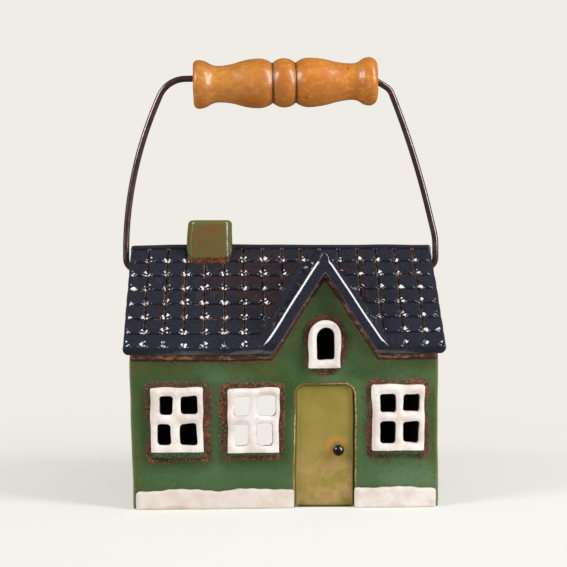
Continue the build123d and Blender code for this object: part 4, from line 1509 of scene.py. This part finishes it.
def make_floor():
    """Pale floor that keeps the shadow near the house and turns into the backdrop further out."""
    reach = 0.5
    sides = 64
    turns = [math.tau * k / sides for k in range(sides)]
    rim = [(reach * math.cos(turn), reach * math.sin(turn), 0) for turn in turns]
    mesh = new_mesh("floor", rim, [tuple(range(sides))])
    floor = bpy.data.objects.new("floor", mesh)
    scene.collection.objects.link(floor)
    floor.location.z = -0.15 * MM
    material = bpy.data.materials.new("pale_floor")
    material.use_nodes = True
    tree = material.node_tree
    tree.nodes.clear()
    output = tree.nodes.new("ShaderNodeOutputMaterial")
    lit = tree.nodes.new("ShaderNodeBsdfDiffuse")
    mirrored = tree.nodes.new("ShaderNodeLightPath")
    tint = tree.nodes.new("ShaderNodeMix")
    tint.data_type = "RGBA"
    tint.inputs[6].default_value = srgb(246, 244, 238)
    tint.inputs[7].default_value = srgb(76, 73, 70)
    tree.links.new(mirrored.outputs["Is Glossy Ray"], tint.inputs["Factor"])
    tree.links.new(tint.outputs[2], lit.inputs["Color"])
    glow = tree.nodes.new("ShaderNodeEmission")
    glow.inputs["Color"].default_value = backdrop
    place = tree.nodes.new("ShaderNodeTexCoord")
    length = tree.nodes.new("ShaderNodeVectorMath")
    length.operation = "LENGTH"
    tree.links.new(place.outputs["Object"], length.inputs[0])
    far = tree.nodes.new("ShaderNodeMapRange")
    far.interpolation_type = "SMOOTHSTEP"
    far.inputs["From Min"].default_value = 0.08
    far.inputs["From Max"].default_value = 0.36
    far.inputs["To Min"].default_value = 0.5
    tree.links.new(length.outputs["Value"], far.inputs["Value"])
    shown = tree.nodes.new("ShaderNodeMath")
    shown.operation = "MULTIPLY"
    tree.links.new(far.outputs["Result"], shown.inputs[0])
    tree.links.new(seen_rays(tree), shown.inputs[1])
    mix = tree.nodes.new("ShaderNodeMixShader")
    tree.links.new(shown.outputs[0], mix.inputs["Fac"])
    tree.links.new(lit.outputs["BSDF"], mix.inputs[1])
    tree.links.new(glow.outputs["Emission"], mix.inputs[2])
    tree.links.new(mix.outputs["Shader"], output.inputs["Surface"])
    mesh.materials.append(material)


def make_world():
    """Plain backdrop for the camera, a dim room in reflections and a soft fill for the rest."""
    world = bpy.data.worlds.new("studio")
    scene.world = world
    world.use_nodes = True
    tree = world.node_tree
    tree.nodes.clear()
    output = tree.nodes.new("ShaderNodeOutputWorld")
    seen = tree.nodes.new("ShaderNodeBackground")
    seen.inputs["Color"].default_value = backdrop
    fill = tree.nodes.new("ShaderNodeBackground")
    fill.inputs["Color"].default_value = (1.0, 0.985, 0.96, 1.0)
    rays = tree.nodes.new("ShaderNodeLightPath")
    level = tree.nodes.new("ShaderNodeMapRange")
    level.inputs["To Min"].default_value = fill_level
    level.inputs["To Max"].default_value = room_level
    tree.links.new(rays.outputs["Is Glossy Ray"], level.inputs["Value"])
    tree.links.new(level.outputs["Result"], fill.inputs["Strength"])
    mix = tree.nodes.new("ShaderNodeMixShader")
    tree.links.new(seen_rays(tree), mix.inputs["Fac"])
    tree.links.new(fill.outputs["Background"], mix.inputs[1])
    tree.links.new(seen.outputs["Background"], mix.inputs[2])
    tree.links.new(mix.outputs["Shader"], output.inputs["Surface"])


def add_lamp(name, azimuth, elevation, distance, width, height, power):
    """Soft box that faces the house, at an angle from the front."""
    aim = Vector((0, 0, 0.09))
    turn = math.radians(azimuth)
    lift = math.radians(elevation)
    ray = Vector((math.sin(turn) * math.cos(lift), -math.cos(turn) * math.cos(lift), math.sin(lift)))
    data = bpy.data.lights.new(name, "AREA")
    data.shape = "RECTANGLE"
    data.size = width
    data.size_y = height
    data.energy = power
    lamp = bpy.data.objects.new(name, data)
    lamp.location = aim + ray * distance
    lamp.rotation_euler = (-ray).to_track_quat("-Z", "Y").to_euler()
    scene.collection.objects.link(lamp)


def make_camera():
    """The photograph's view: from the front, a little to the left and above."""
    picture = 567
    focal = 1286.0
    distance = 0.616
    aim = Vector((0.0010, 0, 0.0991))
    turn = math.radians(-1.82)
    lift = math.radians(2.26)
    roll = math.radians(-0.2)
    ray = Vector((math.sin(turn) * math.cos(lift), -math.cos(turn) * math.cos(lift), math.sin(lift)))
    data = bpy.data.cameras.new("camera")
    data.sensor_width = 36.0
    data.lens = focal / picture * data.sensor_width
    data.clip_start = 0.01
    camera = bpy.data.objects.new("camera", data)
    camera.location = aim + ray * distance
    facing = (-ray).to_track_quat("-Z", "Y").to_matrix().to_4x4()
    camera.rotation_euler = (facing @ Matrix.Rotation(roll, 4, "Z")).to_euler()
    scene.collection.objects.link(camera)
    scene.camera = camera


navy = navy_glaze()
green = green_glaze()
white = white_glaze()
make_roof(navy)
make_dormer(navy)
make_walls(green)
make_floor_slab(green)
make_frames(white)
make_plinths(white)
make_door(ochre_glaze())
make_knob(black_glaze())
make_chimney(brown_glaze())
make_wire(brown_wire())
make_grip(varnished_wood())
make_tealight(cup_foil(), candle_wax(), cotton_wick(), tin_foot())
make_floor()
make_world()
add_lamp("right_softbox", 60, 27, 1.0, 0.26, 1.0, 11.0)
add_lamp("left_softbox", -60, 30, 1.1, 0.34, 0.48, 7.0)
add_lamp("left_card", -62, 6, 1.0, 0.12, 0.36, 0.35)
make_camera()
scene.view_settings.view_transform = "Standard"
